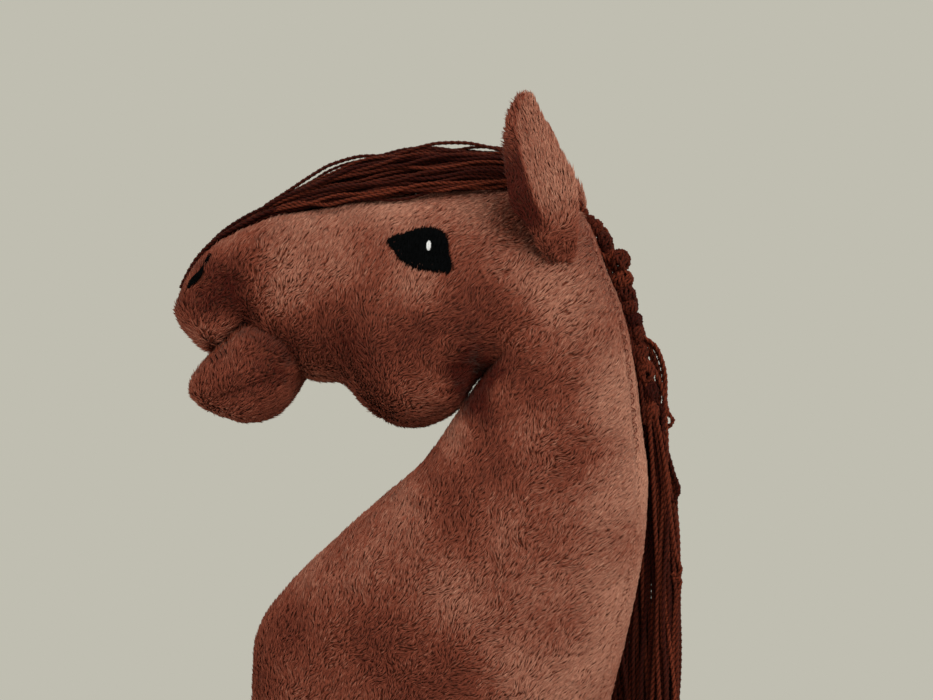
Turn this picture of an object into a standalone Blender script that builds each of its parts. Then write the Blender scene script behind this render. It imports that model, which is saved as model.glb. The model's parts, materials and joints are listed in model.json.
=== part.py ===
# Hobby horse: a plush horse's head and neck, open at the bottom for its wooden stick.
# Metres, +Z up. The horse faces -X and its left side is towards -Y.
# The origin is the centre of the stick's foot.

import math

import bpy
import bmesh
from mathutils import Matrix, Vector

# Driving sizes of the stick and of what holds it

STICK_LENGTH = 0.760
STICK_DIAMETER = 0.025
STICK_CHAMFER = 0.003
STICK_IN_NECK = 0.200
SLEEVE_WALL = 0.0015
SLEEVE_TOP = 0.003
STICK_CLEARANCE = 0.0003

# Driving sizes of the stuffed neck, head and lower lip

NECK_HEIGHT = 0.299        # neck base up to the throat crease
NECK_DEPTH = 0.2785        # chest to crest, at the widest
NECK_WIDTH = 0.120
HEAD_LENGTH = 0.2195       # throat crease to the nose tip
HEAD_DEPTH = 0.168         # forehead to the bottom of the cheek
HEAD_WIDTH = 0.116
LIP_LENGTH = 0.0813        # root of the lower lip to its tip
LIP_DEPTH = 0.0706
LIP_WIDTH = 0.076

# Cloth and seams

PLUSH = 0.004              # backing and pile of one layer of plush
LINING = 0.002
SEAM_GAP = 0.0003
SEAM_WIDTH = PLUSH / 4     # between the cut edges of two panels sewn together
CLOTH_GAP = 0.0006         # between a layer of cloth and what it lies on
BASE_CLOTH = 0.003
LIP_CLEARANCE = 0.0006     # between the lower lip and the head that it is sewn against
LIP_CUT_FROM = 2           # head sections below this one are too far away to cut the lip
GUSSET_STEPS = 2           # half width of a gusset, in steps round a section
LINING_STEPS = 3
TIP_BULGE = 0.002          # how far the cloth closes in front of a form's last section
TIP_CLOSING = 0.3          # share of the last section that stays open there
TIP_PINCH = 0.6            # share of the cloth's thickness where the seams meet at a tip

# Ears, eyes and nostrils

EAR_HEIGHT = 0.099
EAR_ROOT_RISE = 0.006      # the folded blade's lower edge over the line that the ear turns about
EAR_DEPTH = 0.044          # front edge to back, at the widest
EAR_BREADTH = 0.024        # across the folded ear
EAR_HEEL_RADIUS = 0.008
EAR_HEEL_LENGTH = 0.026
EAR_CLEARANCE = 0.0012     # between the ear's rounded heel and the side panel
EAR_PLUSH = 0.003
EAR_LINING_GAP = 0.0006
EAR_LINING_SETBACK = 0.002 # the lining's edge behind the ear's own
EAR_FORWARD_DEG = 19.0
EAR_SPLAY_DEG = 10.0
EAR_STATION = 14.05
EAR_ANGLE_DEG = 60.0
EYE_LENGTH = 0.045
EYE_THICKNESS = 0.0012
SPARKLE_LENGTH = 0.0077
SPARKLE_THICKNESS = 0.0006
NOSTRIL_LENGTH = 0.026
NOSTRIL_THICKNESS = 0.001
PATCH_SAMPLES = 3          # points on each stretch of an embroidered outline
SPARKLE_SIDES = 12
PATCH_GAP = 0.0006
PATCH_START = 0.020        # how far off the cloth a patch starts before it is laid on

# Yarn

LOCK_RADIUS = 0.0068
CURL_RADIUS = 0.0062
YARN_CLEARANCE = 0.0015
LOCK_GAP = 0.0014          # between two hanging locks side by side

# Fineness of the surfaces

AROUND = 32
STICK_SIDES = 32
HEEL_SIDES = 16
HEEL_RINGS = 8
SUPERELLIPSE = 2.2
YARN_BEVEL = 2
BEVEL_SEGMENTS = 2
SHARP_CLOTH_DEG = 50.0     # edges sharper than these are shaded as edges
SHARP_ROUND_DEG = 30.0
CUTTER_REACH = 0.010       # how far a cutter starts outside what it cuts
MM = 0.001

# The pattern's side outline, in millimetres as drawn. Each row is one section of the
# stuffed form: its lower or front edge (x, z), its upper or back edge (x, z), and half
# its width. The neck is drawn from the centre of its base.

NECK_PATTERN = [
    ((-85, 0), (62, 0), 38),
    ((-108, 7), (82, 7), 47),
    ((-125, 22), (98, 22), 54),
    ((-135, 45), (107, 45), 58),
    ((-138.5, 80), (115, 76), 60),
    ((-134, 118), (126, 120), 60),
    ((-116, 146), (134, 158), 60),
    ((-84, 179), (139, 196), 59),
    ((-49, 210), (140, 230), 57),
    ((-19, 237), (136.5, 258), 55),
    ((0, 262), (132, 296), 53),
    ((12, 279), (125, 335), 52),
    ((19.6, 289), (119, 354), 52),
    ((26.6, 299), (110.6, 373), 51),
]

# The head is drawn from the throat crease, where the neck's last section ends.

HEAD_PATTERN = [
    ((-9.8, -4.9), (67.9, 110.6), 51),
    ((-16.1, -13.3), (39.9, 126.7), 53),
    ((-23.1, -25.9), (11.9, 129.5), 56),
    ((-40.6, -37.1), (-16.1, 128.1), 58),
    ((-61.6, -38.5), (-42, 126.7), 58),
    ((-81.2, -28), (-65.8, 124.6), 56),
    ((-100.1, -9.1), (-91, 121.1), 51),
    ((-123.2, -6.3), (-116.2, 116.9), 47),
    ((-145.6, 7.7), (-138.6, 113.4), 44),
    ((-168, 31.5), (-159.6, 107.8), 43),
    ((-182, 23.1), (-177.8, 100.1), 43),
    ((-196, 15.4), (-193.2, 91), 41),
    ((-208.6, 22.4), (-204.4, 79.1), 35),
    ((-216.3, 30.8), (-212.8, 63.7), 25),
    ((-219.5, 36.8), (-217.8, 52), 13),
]
MOUTH_SECTION = 9          # the head section at the corner of the mouth

# The lower lip is drawn from the corner of the mouth: bottom edge, top edge, half width.

LIP_PATTERN = [
    ((40, -22), (30, 2), 20),
    ((36.4, -44.8), (12.6, -4.2), 34),
    ((26.6, -56.7), (1.4, -3.5), 37),
    ((14, -65.1), (-8.4, -9.5), 38),
    ((-1.4, -68.6), (-18.2, -16.2), 38),
    ((-16.8, -65.1), (-26.6, -22.3), 36),
    ((-29.4, -60), (-33.6, -27.5), 32),
    ((-34.6, -57), (-37.4, -30), 26),
    ((-39.6, -57.2), (-41.4, -29.7), 16),
]

# Flat outlines of the embroidery, in millimetres from their centres.

EYE_OUTLINE = [
    (-22.4, 8.4), (-10.5, 13.3), (7, 15.4), (17.5, 10.5), (21, 0),
    (22.4, -14.7), (7, -14), (-10.5, -7), (-19.6, 3.5),
]
EYE_CENTRE = (-41.1, 83.1)         # from the throat crease, as drawn
SPARKLE_CENTRE = (6.3, 3.5)        # from the eye's centre
SPARKLE_ASPECT = 0.45
NOSTRIL_OUTLINE = [(-13, 1.5), (-5, 3.8), (5, 2.2), (13, 0.8), (4, -1.6), (-5, -2.4)]
NOSTRIL_STATION = 25.1
NOSTRIL_ANGLE_DEG = 34.0
NOSTRIL_REACH = 0.8        # stations back, and share of the angle round, to where the
NOSTRIL_TURN = 1.2         # slope of the cloth under the nostril is taken

# Each ear section: share of the height, share of the depth, share of the breadth, lean in mm.

EAR_PATTERN = [
    (0.00, 0.44, 0.50, 3),
    (0.12, 0.78, 0.74, 4),
    (0.30, 1.00, 1.00, 4.5),
    (0.48, 0.88, 0.98, 4.5),
    (0.65, 0.72, 0.88, 5),
    (0.80, 0.60, 0.74, 7),
    (0.92, 0.44, 0.60, 10),
    (1.00, 0.24, 0.44, 14),
]
EAR_AROUND = 10
EAR_LINING_FROM = 2

# Forelock: stations along the head and the yarn's radius there in millimetres.

FORELOCK_RUN = [
    (15, 4.4), (16, 6.4), (17, 8.2), (18, 8.6), (19, 8.2), (20, 7.2), (21, 5.4), (22, 3.2), (23, 2.2),
    (24, 1.7), (25, 1.5), (26, 1.3), (27, 1.1),
]
FORELOCK_ROWS = [
    ("forelock_lock_left", -2.15, 0.0),
    ("forelock_lock_middle", 0.0, 0.0),
    ("forelock_lock_right", 2.15, 0.0),
    ("forelock_lock_top_left", -1.08, 1.85),
    ("forelock_lock_top_right", 1.08, 1.85),
]

# Curls along the crest: first and last station of each.

CURL_RUNS = [(13.75, 13.0), (12.8, 12.0), (11.7, 11.05), (10.9, 10.35), (10.2, 9.7)]
CURL_ANGLE_DEG = 3.0
CURL_END = 0.62            # share of a curl's radius at its ends

# Hanging locks: station and angle where each leaves the crest, the column that it falls
# in, and the height of its end over the neck base in millimetres. Columns lie a lock's
# width and a gap apart, and are counted forward from the one behind the crest.

MANE_RUNS = [
    (13.3, 18.0, 4.0, 22),
    (12.4, 18.0, 3.0, 4),
    (11.4, 18.0, 2.0, -6),
    (10.6, 18.0, 1.0, 2),
    (9.9, 18.0, 0.0, 12),
    (9.0, 5.0, -0.55, -8),
]
MANE_COLUMN_MM = 144       # the column behind the crest, as drawn
LOCK_ROOT = 0.55           # share of the radius where a lock is sewn on
LOCK_SWELL = 0.3           # what each step adds to it
LOCK_TIP = 0.35
LOCK_TAPER = 0.25
MANE_STEP = 0.030
MANE_DRIFT = 0.55          # share of the way to its column that a lock makes in a step


# Materials

def matte(name, colour, roughness):
    material = bpy.data.materials.new(name)
    material.use_nodes = True
    shader = material.node_tree.nodes["Principled BSDF"]
    shader.inputs["Base Color"].default_value = (*colour, 1.0)
    shader.inputs["Roughness"].default_value = roughness
    shader.inputs["Metallic"].default_value = 0.0
    return material


MATERIALS = {
    "pine": matte("waxed_pine_dowel", (0.62, 0.43, 0.25), 0.5),
    "coat": matte("chestnut_plush", (0.29, 0.115, 0.070), 0.95),
    "lining": matte("mouth_lining_plush", (0.33, 0.14, 0.10), 0.9),
    "fibre": matte("polyester_fibrefill", (0.80, 0.79, 0.76), 1.0),
    "cotton": matte("cotton_sleeve_cloth", (0.55, 0.47, 0.36), 0.9),
    "black": matte("black_embroidery", (0.012, 0.014, 0.018), 0.6),
    "white": matte("white_embroidery", (0.80, 0.80, 0.80), 0.6),
    "yarn": matte("russet_yarn", (0.090, 0.022, 0.014), 0.9),
}


# Helpers that put meshes into the scene

def add_object(name, mesh, material, parent):
    part = bpy.data.objects.new(name, mesh)
    if material:
        mesh.materials.append(MATERIALS[material])
    bpy.context.scene.collection.objects.link(part)
    part.parent = parent
    return part


def add_mesh(name, points, faces, material, parent):
    mesh = bpy.data.meshes.new(name)
    work = bmesh.new()
    verts = [work.verts.new(point) for point in points]
    for face in faces:
        work.faces.new([verts[i] for i in face])
    bmesh.ops.recalc_face_normals(work, faces=work.faces)
    work.to_mesh(mesh)
    work.free()
    mesh.shade_smooth()
    mesh.set_sharp_from_angle(angle=math.radians(SHARP_CLOTH_DEG))
    return add_object(name, mesh, material, parent)


def add_empty(name, location, parent):
    empty = bpy.data.objects.new(name, None)
    empty.location = location
    empty.parent = parent
    bpy.context.scene.collection.objects.link(empty)
    return empty


def hide_cutter(cutter):
    cutter.hide_render = True
    cutter.display_type = "WIRE"


def cut(part, cutter):
    boolean = part.modifiers.new("cut by " + cutter.name, "BOOLEAN")
    boolean.operation = "DIFFERENCE"
    boolean.object = cutter
    hide_cutter(cutter)


def add_cylinder(name, radius, bottom, top, sides, material, parent):
    mesh = bpy.data.meshes.new(name)
    work = bmesh.new()
    bmesh.ops.create_cone(
        work, cap_ends=True, segments=sides, radius1=radius, radius2=radius,
        depth=top - bottom, matrix=Matrix.Translation((0, 0, (top + bottom) / 2)),
    )
    work.to_mesh(mesh)
    work.free()
    mesh.shade_smooth()
    mesh.set_sharp_from_angle(angle=math.radians(SHARP_ROUND_DEG))
    return add_object(name, mesh, material, parent)


# The stuffed form: sections, rings, and the places on its surface

def drawn_extent(pattern, axis):
    values = [edge[axis] for row in pattern for edge in row[:2]]
    return max(values) - min(values)


def scale_pattern(pattern, start, scale_x, scale_z, scale_y):
    sections = []
    for low, high, half in pattern:
        low_point = Vector((start.x + low[0] * scale_x, 0, start.z + low[1] * scale_z))
        high_point = Vector((start.x + high[0] * scale_x, 0, start.z + high[1] * scale_z))
        sections.append((low_point, high_point, half * scale_y))
    return sections


def widest(pattern):
    return max(row[2] for row in pattern)


def body_sections():
    scale_z = NECK_HEIGHT / NECK_PATTERN[-1][0][1]
    scale_x = NECK_DEPTH / drawn_extent(NECK_PATTERN, 0)
    scale_y = NECK_WIDTH / 2 / widest(NECK_PATTERN)
    neck = scale_pattern(NECK_PATTERN, Vector((0, 0, 0)), scale_x, scale_z, scale_y)
    crease = neck[-1][0]
    head_x = HEAD_LENGTH / -HEAD_PATTERN[-1][0][0]
    head_z = HEAD_DEPTH / drawn_extent(HEAD_PATTERN, 1)
    head_y = HEAD_WIDTH / 2 / widest(HEAD_PATTERN)
    return neck + scale_pattern(HEAD_PATTERN, crease, head_x, head_z, head_y)


def lip_sections(corner):
    scale_x = LIP_LENGTH / drawn_extent(LIP_PATTERN, 0)
    scale_z = LIP_DEPTH / drawn_extent(LIP_PATTERN, 1)
    scale_y = LIP_WIDTH / 2 / widest(LIP_PATTERN)
    return scale_pattern(LIP_PATTERN, corner, scale_x, scale_z, scale_y)


def rounded(value):
    return math.copysign(abs(value) ** (2 / SUPERELLIPSE), value)


def ring_point(section, angle, lift):
    low, high, half = section
    centre = (low + high) / 2
    reach = (high - low).length / 2 + lift
    along = (high - low).normalized()
    point = centre + along * reach * rounded(math.cos(angle))
    point.y = (half + lift) * rounded(math.sin(angle))
    return point


def between(sections, station):
    index = min(int(station), len(sections) - 2)
    share = station - index
    first = sections[index]
    second = sections[index + 1]
    low = first[0].lerp(second[0], share)
    high = first[1].lerp(second[1], share)
    return low, high, first[2] + (second[2] - first[2]) * share


def surface(sections, station, angle, lift):
    return ring_point(between(sections, station), angle, lift)


def across(section, x, z):
    low, high, half = section
    return (high.x - low.x) * (z - low.z) - (high.z - low.z) * (x - low.x)


def side_y(sections, x, z, lift):
    """Half width of the form at a place in its side outline, or None outside it."""
    for index in range(len(sections) - 1):
        near, far = across(sections[index], x, z), across(sections[index + 1], x, z)
        if near * far > 0:
            continue
        low, high, half = between(sections, index + near / (near - far))
        middle = (low + high) / 2
        reach = (high - low).length / 2 + lift
        height = (Vector((x, 0, z)) - middle).dot((high - low).normalized()) / reach
        if abs(height) < 1:
            bulge = (1 - abs(height) ** SUPERELLIPSE) ** (1 / SUPERELLIPSE)
            return (half + lift) * bulge
    return None


def ring(section, lift, first=0, last=AROUND - 1):
    steps = range(first, last + 1)
    return [ring_point(section, 2 * math.pi * step / AROUND, lift) for step in steps]


def quads(rows, columns, base, closed):
    faces = []
    for row in range(rows - 1):
        for column in range(columns if closed else columns - 1):
            a = base + row * columns + column
            b = base + row * columns + (column + 1) % columns
            c, d = b + columns, a + columns
            faces.append((a, b, c))
            faces.append((a, c, d))
    return faces


def loft(name, rings, material, parent):
    columns = len(rings[0])
    points = [point for one in rings for point in one]
    faces = quads(len(rings), columns, 0, True)
    faces.append(tuple(range(columns)))
    faces.append(tuple(range(len(points) - columns, len(points))))
    return add_mesh(name, points, faces, material, parent)


def draw_in(row, neighbour):
    moved = []
    for point, towards in zip(row, neighbour):
        step = towards - point
        moved.append(point + step.normalized() * min(SEAM_WIDTH / 2, step.length / 3))
    return moved


def forward(sections):
    """The way that the form's tip points."""
    ends = [(low + high) / 2 for low, high, half in sections[-2:]]
    return (ends[1] - ends[0]).normalized()


def closing_row(sections, row, depth):
    """Gathers the last row of a panel towards the middle of the form's tip."""
    low, high, half = sections[-1]
    tip = (low + high) / 2
    ahead = forward(sections) * (TIP_BULGE + depth)
    return [tip + ahead + (point - tip) * TIP_CLOSING for point in row]


def stuffing_rings(sections):
    """The filling under the cloth, drawn back from the form's closed tip."""
    rings = [ring(section, -(PLUSH + CLOTH_GAP)) for section in sections]
    back = forward(sections) * (PLUSH + CLOTH_GAP - TIP_BULGE)
    rings[-1] = [point - back for point in rings[-1]]
    return rings


def seam_allowance(rows, seam_first, seam_last):
    """Moves the edges of a cloth panel in by half a seam gap."""
    if seam_first:
        rows[0] = draw_in(rows[0], rows[1])
    if seam_last:
        rows[-1] = draw_in(rows[-1], rows[-2])
    for row in rows:
        edges = draw_in([row[0], row[-1]], [row[1], row[-2]])
        row[0], row[-1] = edges
    return rows


def shell(name, sheets, material, parent):
    """A closed sheet of cloth between two grids of points, with its four cut edges."""
    rows, columns = len(sheets[0]), len(sheets[0][0])
    points = [point for sheet in sheets for row in sheet for point in row]
    inner = rows * columns
    faces = quads(rows, columns, 0, False) + quads(rows, columns, inner, False)
    border = list(range(columns))
    border += [row * columns + columns - 1 for row in range(1, rows)]
    border += [(rows - 1) * columns + column for column in range(columns - 2, -1, -1)]
    border += [row * columns for row in range(rows - 2, 0, -1)]
    for a, b in zip(border, border[1:] + border[:1]):
        low, high = min(a, b), max(a, b)
        faces.append((low, high, high + inner))
        faces.append((low, high + inner, low + inner))
    return add_mesh(name, points, faces, material, parent)


def panel(name, sections, span, steps, layers, material, parent):
    """One cut piece of cloth: a shell between two layers of the stuffed form."""
    first, last = span
    sheets = []
    at_tip = last == len(sections) - 1
    for lift in layers:
        rows = [ring(section, lift, *steps) for section in sections[first:last + 1]]
        if at_tip:
            rows[-1] = ring(sections[-1], lift * TIP_PINCH, *steps)
            rows.append(closing_row(sections, rows[-1], lift * TIP_PINCH))
        sheets.append(seam_allowance(rows, first > 0, not at_tip))
    return shell(name, sheets, material, parent)


# The stick and the sleeve that it stands in

def add_stick():
    stick = add_cylinder(
        "stick", STICK_DIAMETER / 2, 0.0, STICK_LENGTH, STICK_SIDES, "pine", None
    )
    bevel = stick.modifiers.new("eased ends", "BEVEL")
    bevel.width = STICK_CHAMFER
    bevel.segments = BEVEL_SEGMENTS
    bevel.limit_method = "ANGLE"
    return stick


def add_sleeve(parent):
    bore = STICK_DIAMETER / 2 + STICK_CLEARANCE
    inside_top = STICK_IN_NECK + STICK_CLEARANCE
    outside_top = inside_top + SLEEVE_TOP
    sleeve = add_cylinder(
        "stick_sleeve", bore + SLEEVE_WALL, 0.0, outside_top, STICK_SIDES, "cotton", parent
    )
    cutter = add_cylinder(
        "sleeve_bore", bore, -CUTTER_REACH, inside_top, STICK_SIDES, None, parent
    )
    cut(sleeve, cutter)
    room = add_cylinder(
        "room_for_sleeve", bore + SLEEVE_WALL + SEAM_GAP, -CUTTER_REACH,
        outside_top + SEAM_GAP, STICK_SIDES, None, parent,
    )
    hide_cutter(room)
    return room


# The stuffed neck and head

def add_stuffing(sections, throat, room, parent):
    rings = stuffing_rings(sections)
    rise = Vector((0, 0, BASE_CLOTH + SEAM_GAP))
    neck_rings = rings[:throat + 1]
    base_ring = neck_rings[0]
    neck_rings[0] = [point + rise for point in base_ring]
    low, high, half = sections[throat]
    away = (high - low).normalized().cross(Vector((0, 1, 0))) * SEAM_GAP / 2
    neck_rings[-1] = [point - away for point in neck_rings[-1]]
    neck = loft("neck_stuffing", neck_rings, "fibre", parent)
    cut(neck, room)
    head_rings = rings[throat:]
    head_rings[0] = [point + away for point in head_rings[0]]
    loft("head_stuffing", head_rings, "fibre", parent)
    base_top = [point + Vector((0, 0, BASE_CLOTH)) for point in base_ring]
    base_panel = loft("neck_base_panel", [base_ring, base_top], "coat", parent)
    cut(base_panel, room)


def add_cover(sections, throat, mouth, parent):
    end = len(sections) - 1
    half = AROUND // 2
    top = (-GUSSET_STEPS, GUSSET_STEPS)
    under = (half - GUSSET_STEPS, half + GUSSET_STEPS)
    right = (GUSSET_STEPS, half - GUSSET_STEPS)
    left = (half + GUSSET_STEPS, AROUND - GUSSET_STEPS)
    layers = (0.0, -PLUSH)
    panel("right_side_panel", sections, (0, end), right, layers, "coat", parent)
    panel("crest_gusset", sections, (0, throat + 1), top, layers, "coat", parent)
    panel("forehead_gusset", sections, (throat + 1, end), top, layers, "coat", parent)
    panel("chest_gusset", sections, (0, throat), under, layers, "coat", parent)
    panel("chin_gusset", sections, (throat, mouth), under, layers, "coat", parent)
    panel("mouth_lining_upper", sections, (mouth, end), under, layers, "lining", parent)
    return panel("left_side_panel", sections, (0, end), left, layers, "coat", parent)


# The lower lip, set against the head

def add_lip(head, lip, parent):
    cutter = loft(
        "room_for_head", [ring(section, LIP_CLEARANCE) for section in head], None, parent
    )
    end = len(lip) - 1
    half = AROUND // 2
    layers = (0.0, -PLUSH)
    right = (LINING_STEPS, half)
    left = (half, AROUND - LINING_STEPS)
    top = (-LINING_STEPS, LINING_STEPS)
    pieces = [
        loft("lower_lip_stuffing", stuffing_rings(lip), "fibre", parent),
        panel("lower_lip_right_cover", lip, (0, end), right, layers, "coat", parent),
        panel("lower_lip_left_cover", lip, (0, end), left, layers, "coat", parent),
        panel("mouth_lining_lower", lip, (0, end), top, layers, "lining", parent),
    ]
    for piece in pieces:
        cut(piece, cutter)


# Ears

def ear_curve(share, lift, forward):
    """One section of the folded ear: half an ellipse, open towards the front."""
    height, depth, breadth, lean = share
    points = []
    for step in range(EAR_AROUND + 1):
        turn = math.pi * step / EAR_AROUND - math.pi / 2
        x = (EAR_DEPTH * depth - forward) * math.cos(turn) - EAR_DEPTH * depth / 2 + forward
        x += lift * math.cos(turn) + lean * MM
        y = (EAR_BREADTH / 2 * breadth + lift) * math.sin(turn)
        points.append(Vector((x, y, EAR_ROOT_RISE + height * (EAR_HEIGHT - EAR_ROOT_RISE))))
    return points


def ear_shell(name, rows, lifts, forward, material, parent, side):
    sheets = [[ear_curve(row, lift, forward) for row in rows] for lift in lifts]
    for point in [point for sheet in sheets for row in sheet for point in row]:
        point.y *= side
    return shell(name, sheets, material, parent)


def add_heel(name, parent):
    """The stuffed root that an ear turns on: a body like a grain of rice, along X."""
    rings = []
    for step in range(1, HEEL_RINGS):
        share = math.pi * step / HEEL_RINGS
        radius = EAR_HEEL_RADIUS * math.sin(share)
        turns = [2 * math.pi * side / HEEL_SIDES for side in range(HEEL_SIDES)]
        x = -EAR_HEEL_LENGTH / 2 * math.cos(share)
        rings.append([Vector((x, radius * math.cos(t), radius * math.sin(t))) for t in turns])
    return loft(name, rings, None, parent)


def add_ear(word, side, sections, parent):
    lift = EAR_HEEL_RADIUS + EAR_CLEARANCE
    place = surface(sections, EAR_STATION, side * math.radians(EAR_ANGLE_DEG), lift)
    root = add_empty(word + "_ear_root", place, parent)
    splay = side * math.radians(-EAR_SPLAY_DEG)
    root.rotation_euler = (splay, math.radians(-EAR_FORWARD_DEG), 0)
    outer = ear_shell(
        word + "_ear_outer", EAR_PATTERN, (0.0, -EAR_PLUSH), 0.0, "coat", root, side
    )
    heel = add_heel(word + "_ear_heel", root)
    join = outer.modifiers.new("heel", "BOOLEAN")
    join.operation = "UNION"
    join.object = heel
    hide_cutter(heel)
    lining_face = -EAR_PLUSH - EAR_LINING_GAP
    ear_shell(
        word + "_ear_lining", EAR_PATTERN[EAR_LINING_FROM:-1],
        (lining_face, lining_face - LINING), EAR_LINING_SETBACK, "coat", root, side,
    )


# Embroidered eyes and nostrils, laid on the side panels

def drawn_length(outline):
    return max(point[0] for point in outline) - min(point[0] for point in outline)


def smooth_outline(points):
    """A closed smooth curve through the points of an outline."""
    count = len(points)
    curve = []
    for index in range(count):
        a, b, c, d = [Vector(points[(index + step) % count]) for step in (-1, 0, 1, 2)]
        for sample in range(PATCH_SAMPLES):
            t = sample / PATCH_SAMPLES
            curve.append(
                0.5 * (2 * b + (c - a) * t + (2 * a - 5 * b + 4 * c - d) * t ** 2
                       + (3 * b - a - 3 * c + d) * t ** 3)
            )
    return curve


def filled(name, outline, rings):
    """A flat sheet inside an outline, in rings round its middle, facing +Z."""
    mesh = bpy.data.meshes.new(name)
    work = bmesh.new()
    previous = None
    middle = work.verts.new((0, 0, 0))
    for level in range(1, rings + 1):
        share = level / rings
        loop = [work.verts.new((p.x * share, p.y * share, 0)) for p in outline]
        for index in range(len(loop)):
            after = (index + 1) % len(loop)
            if previous:
                work.faces.new((previous[index], loop[index], loop[after], previous[after]))
            else:
                work.faces.new((middle, loop[index], loop[after]))
        previous = loop
    bmesh.ops.recalc_face_normals(work, faces=work.faces)
    if sum(face.normal.z for face in work.faces) < 0:
        bmesh.ops.reverse_faces(work, faces=work.faces)
    work.to_mesh(mesh)
    work.free()
    mesh.shade_smooth()
    return mesh


def patch(name, outline, frame, target, thickness, material, parent, rings=3):
    """A patch of stitches: its filled outline, laid on a surface and thickened."""
    piece = add_object(name, filled(name, outline, rings), material, parent)
    piece.matrix_basis = frame
    lay = piece.modifiers.new("laid on the cloth", "SHRINKWRAP")
    lay.target = target
    lay.wrap_method = "PROJECT"
    lay.wrap_mode = "ABOVE_SURFACE"
    lay.use_project_z = True
    lay.use_positive_direction = False
    lay.use_negative_direction = True
    lay.offset = PATCH_GAP
    thick = piece.modifiers.new("raised stitches", "SOLIDIFY")
    thick.thickness = thickness
    thick.offset = 1.0
    return piece


def facing(place, outward, upward):
    """A frame whose Z points out of the surface and whose Y points up it."""
    out = outward.normalized()
    across_axis = upward.cross(out).normalized()
    rise = out.cross(across_axis)
    frame = Matrix((across_axis, rise, out)).transposed().to_4x4()
    frame.translation = place
    return frame


def add_eye(word, side, sections, crease, target, parent):
    scale_x = HEAD_LENGTH / -HEAD_PATTERN[-1][0][0]
    scale_z = HEAD_DEPTH / drawn_extent(HEAD_PATTERN, 1)
    x = crease.x + EYE_CENTRE[0] * scale_x
    z = crease.z + EYE_CENTRE[1] * scale_z
    grow = EYE_LENGTH / drawn_length(EYE_OUTLINE)
    outline = smooth_outline([(-side * p[0] * grow, p[1] * grow) for p in EYE_OUTLINE])
    place = Vector((x, side * (side_y(sections, x, z, 0.0) + PATCH_START), z))
    frame = facing(place, Vector((0, side, 0)), Vector((0, 0, 1)))
    eye = patch(word + "_eye", outline, frame, target, EYE_THICKNESS, "black", parent)
    radius = SPARKLE_LENGTH / 2
    oval = []
    for step in range(SPARKLE_SIDES):
        turn = 2 * math.pi * step / SPARKLE_SIDES
        oval.append(Vector((radius * SPARKLE_ASPECT * math.cos(turn), radius * math.sin(turn))))
    shift = Matrix.Translation((-side * SPARKLE_CENTRE[0] * grow, SPARKLE_CENTRE[1] * grow, 0))
    patch(
        word + "_eye_sparkle", oval, frame @ shift, eye, SPARKLE_THICKNESS, "white", parent,
        rings=2,
    )


def add_nostril(word, side, sections, target, parent):
    angle = side * math.radians(NOSTRIL_ANGLE_DEG)
    place = surface(sections, NOSTRIL_STATION, angle, 0.0)
    back = surface(sections, NOSTRIL_STATION - NOSTRIL_REACH, angle, 0.0) - place
    round_it = surface(sections, NOSTRIL_STATION, angle * NOSTRIL_TURN, 0.0) - place
    outward = back.cross(round_it) * side
    frame = facing(place + outward.normalized() * PATCH_START, outward, round_it * -1)
    grow = NOSTRIL_LENGTH / drawn_length(NOSTRIL_OUTLINE)
    outline = smooth_outline([(-side * p[0] * grow, p[1] * grow) for p in NOSTRIL_OUTLINE])
    patch(
        word + "_nostril", outline, frame, target, NOSTRIL_THICKNESS, "black", parent,
        rings=2,
    )


# Yarn forelock and mane

def lock(name, points, radii, parent):
    """A lock of yarn: a tapering tube along a route."""
    curve = bpy.data.curves.new(name, "CURVE")
    curve.dimensions = "3D"
    curve.bevel_depth = 1.0
    curve.bevel_resolution = YARN_BEVEL
    curve.use_fill_caps = True
    spline = curve.splines.new("POLY")
    spline.points.add(len(points) - 1)
    for target, point, radius in zip(spline.points, points, radii):
        target.co = (*point, 1)
        target.radius = radius
    spline.use_smooth = True
    return add_object(name, curve, "yarn", parent)


def outline_normal(sections, station):
    """Points out of the upper outline at a section, long enough to keep an offset true."""
    here = sections[station][1]
    before = (here - sections[station - 1][1]).normalized()
    after = (sections[station + 1][1] - here).normalized()
    sideways = Vector((0, 1, 0))
    out = sideways.cross((before + after).normalized())
    return out / out.dot(sideways.cross(before))


def add_forelock(sections, parent):
    for name, sideways, stacked in FORELOCK_ROWS:
        points = []
        radii = []
        for station, radius_mm in FORELOCK_RUN:
            radius = radius_mm * MM
            rise = radius + YARN_CLEARANCE + stacked * radius
            point = sections[station][1] + outline_normal(sections, station) * rise
            points.append(point + Vector((0, sideways * radius, 0)))
            radii.append(radius)
        lock(name, points, radii, parent)


def add_curls(sections, parent):
    lift = CURL_RADIUS + YARN_CLEARANCE
    for number, (first, last) in enumerate(CURL_RUNS, 1):
        points = []
        radii = []
        bends = [first] + list(range(int(first), int(last), -1)) + [last]
        if len(bends) == 2:
            bends.insert(1, (first + last) / 2)
        for station in bends:
            share = (station - first) / (last - first)
            points.append(surface(sections, station, math.radians(CURL_ANGLE_DEG), lift))
            belly = math.sin(math.pi * share)
            radii.append(CURL_RADIUS * (CURL_END + (1 - CURL_END) * belly))
        lock(f"mane_curl_{number}", points, radii, parent)


def lock_radii(count):
    """A hanging lock is thin where it is sewn on, full along its run and tapers out."""
    radii = []
    for index in range(count):
        swelling = LOCK_ROOT + index * LOCK_SWELL
        tapering = LOCK_TIP + (count - 1 - index) * LOCK_TAPER
        radii.append(LOCK_RADIUS * min(1.0, swelling, tapering))
    return radii


def stay_outside(sections, start, point, lift):
    """Moves a lock's next point sideways until it, and the run up to it, clear the neck."""
    for share in (1.0, 0.5):
        place = start.lerp(point, share)
        wall = side_y(sections, place.x, place.z, lift)
        if wall is not None:
            point.y += max(0.0, wall + YARN_CLEARANCE - place.y) / share


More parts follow.
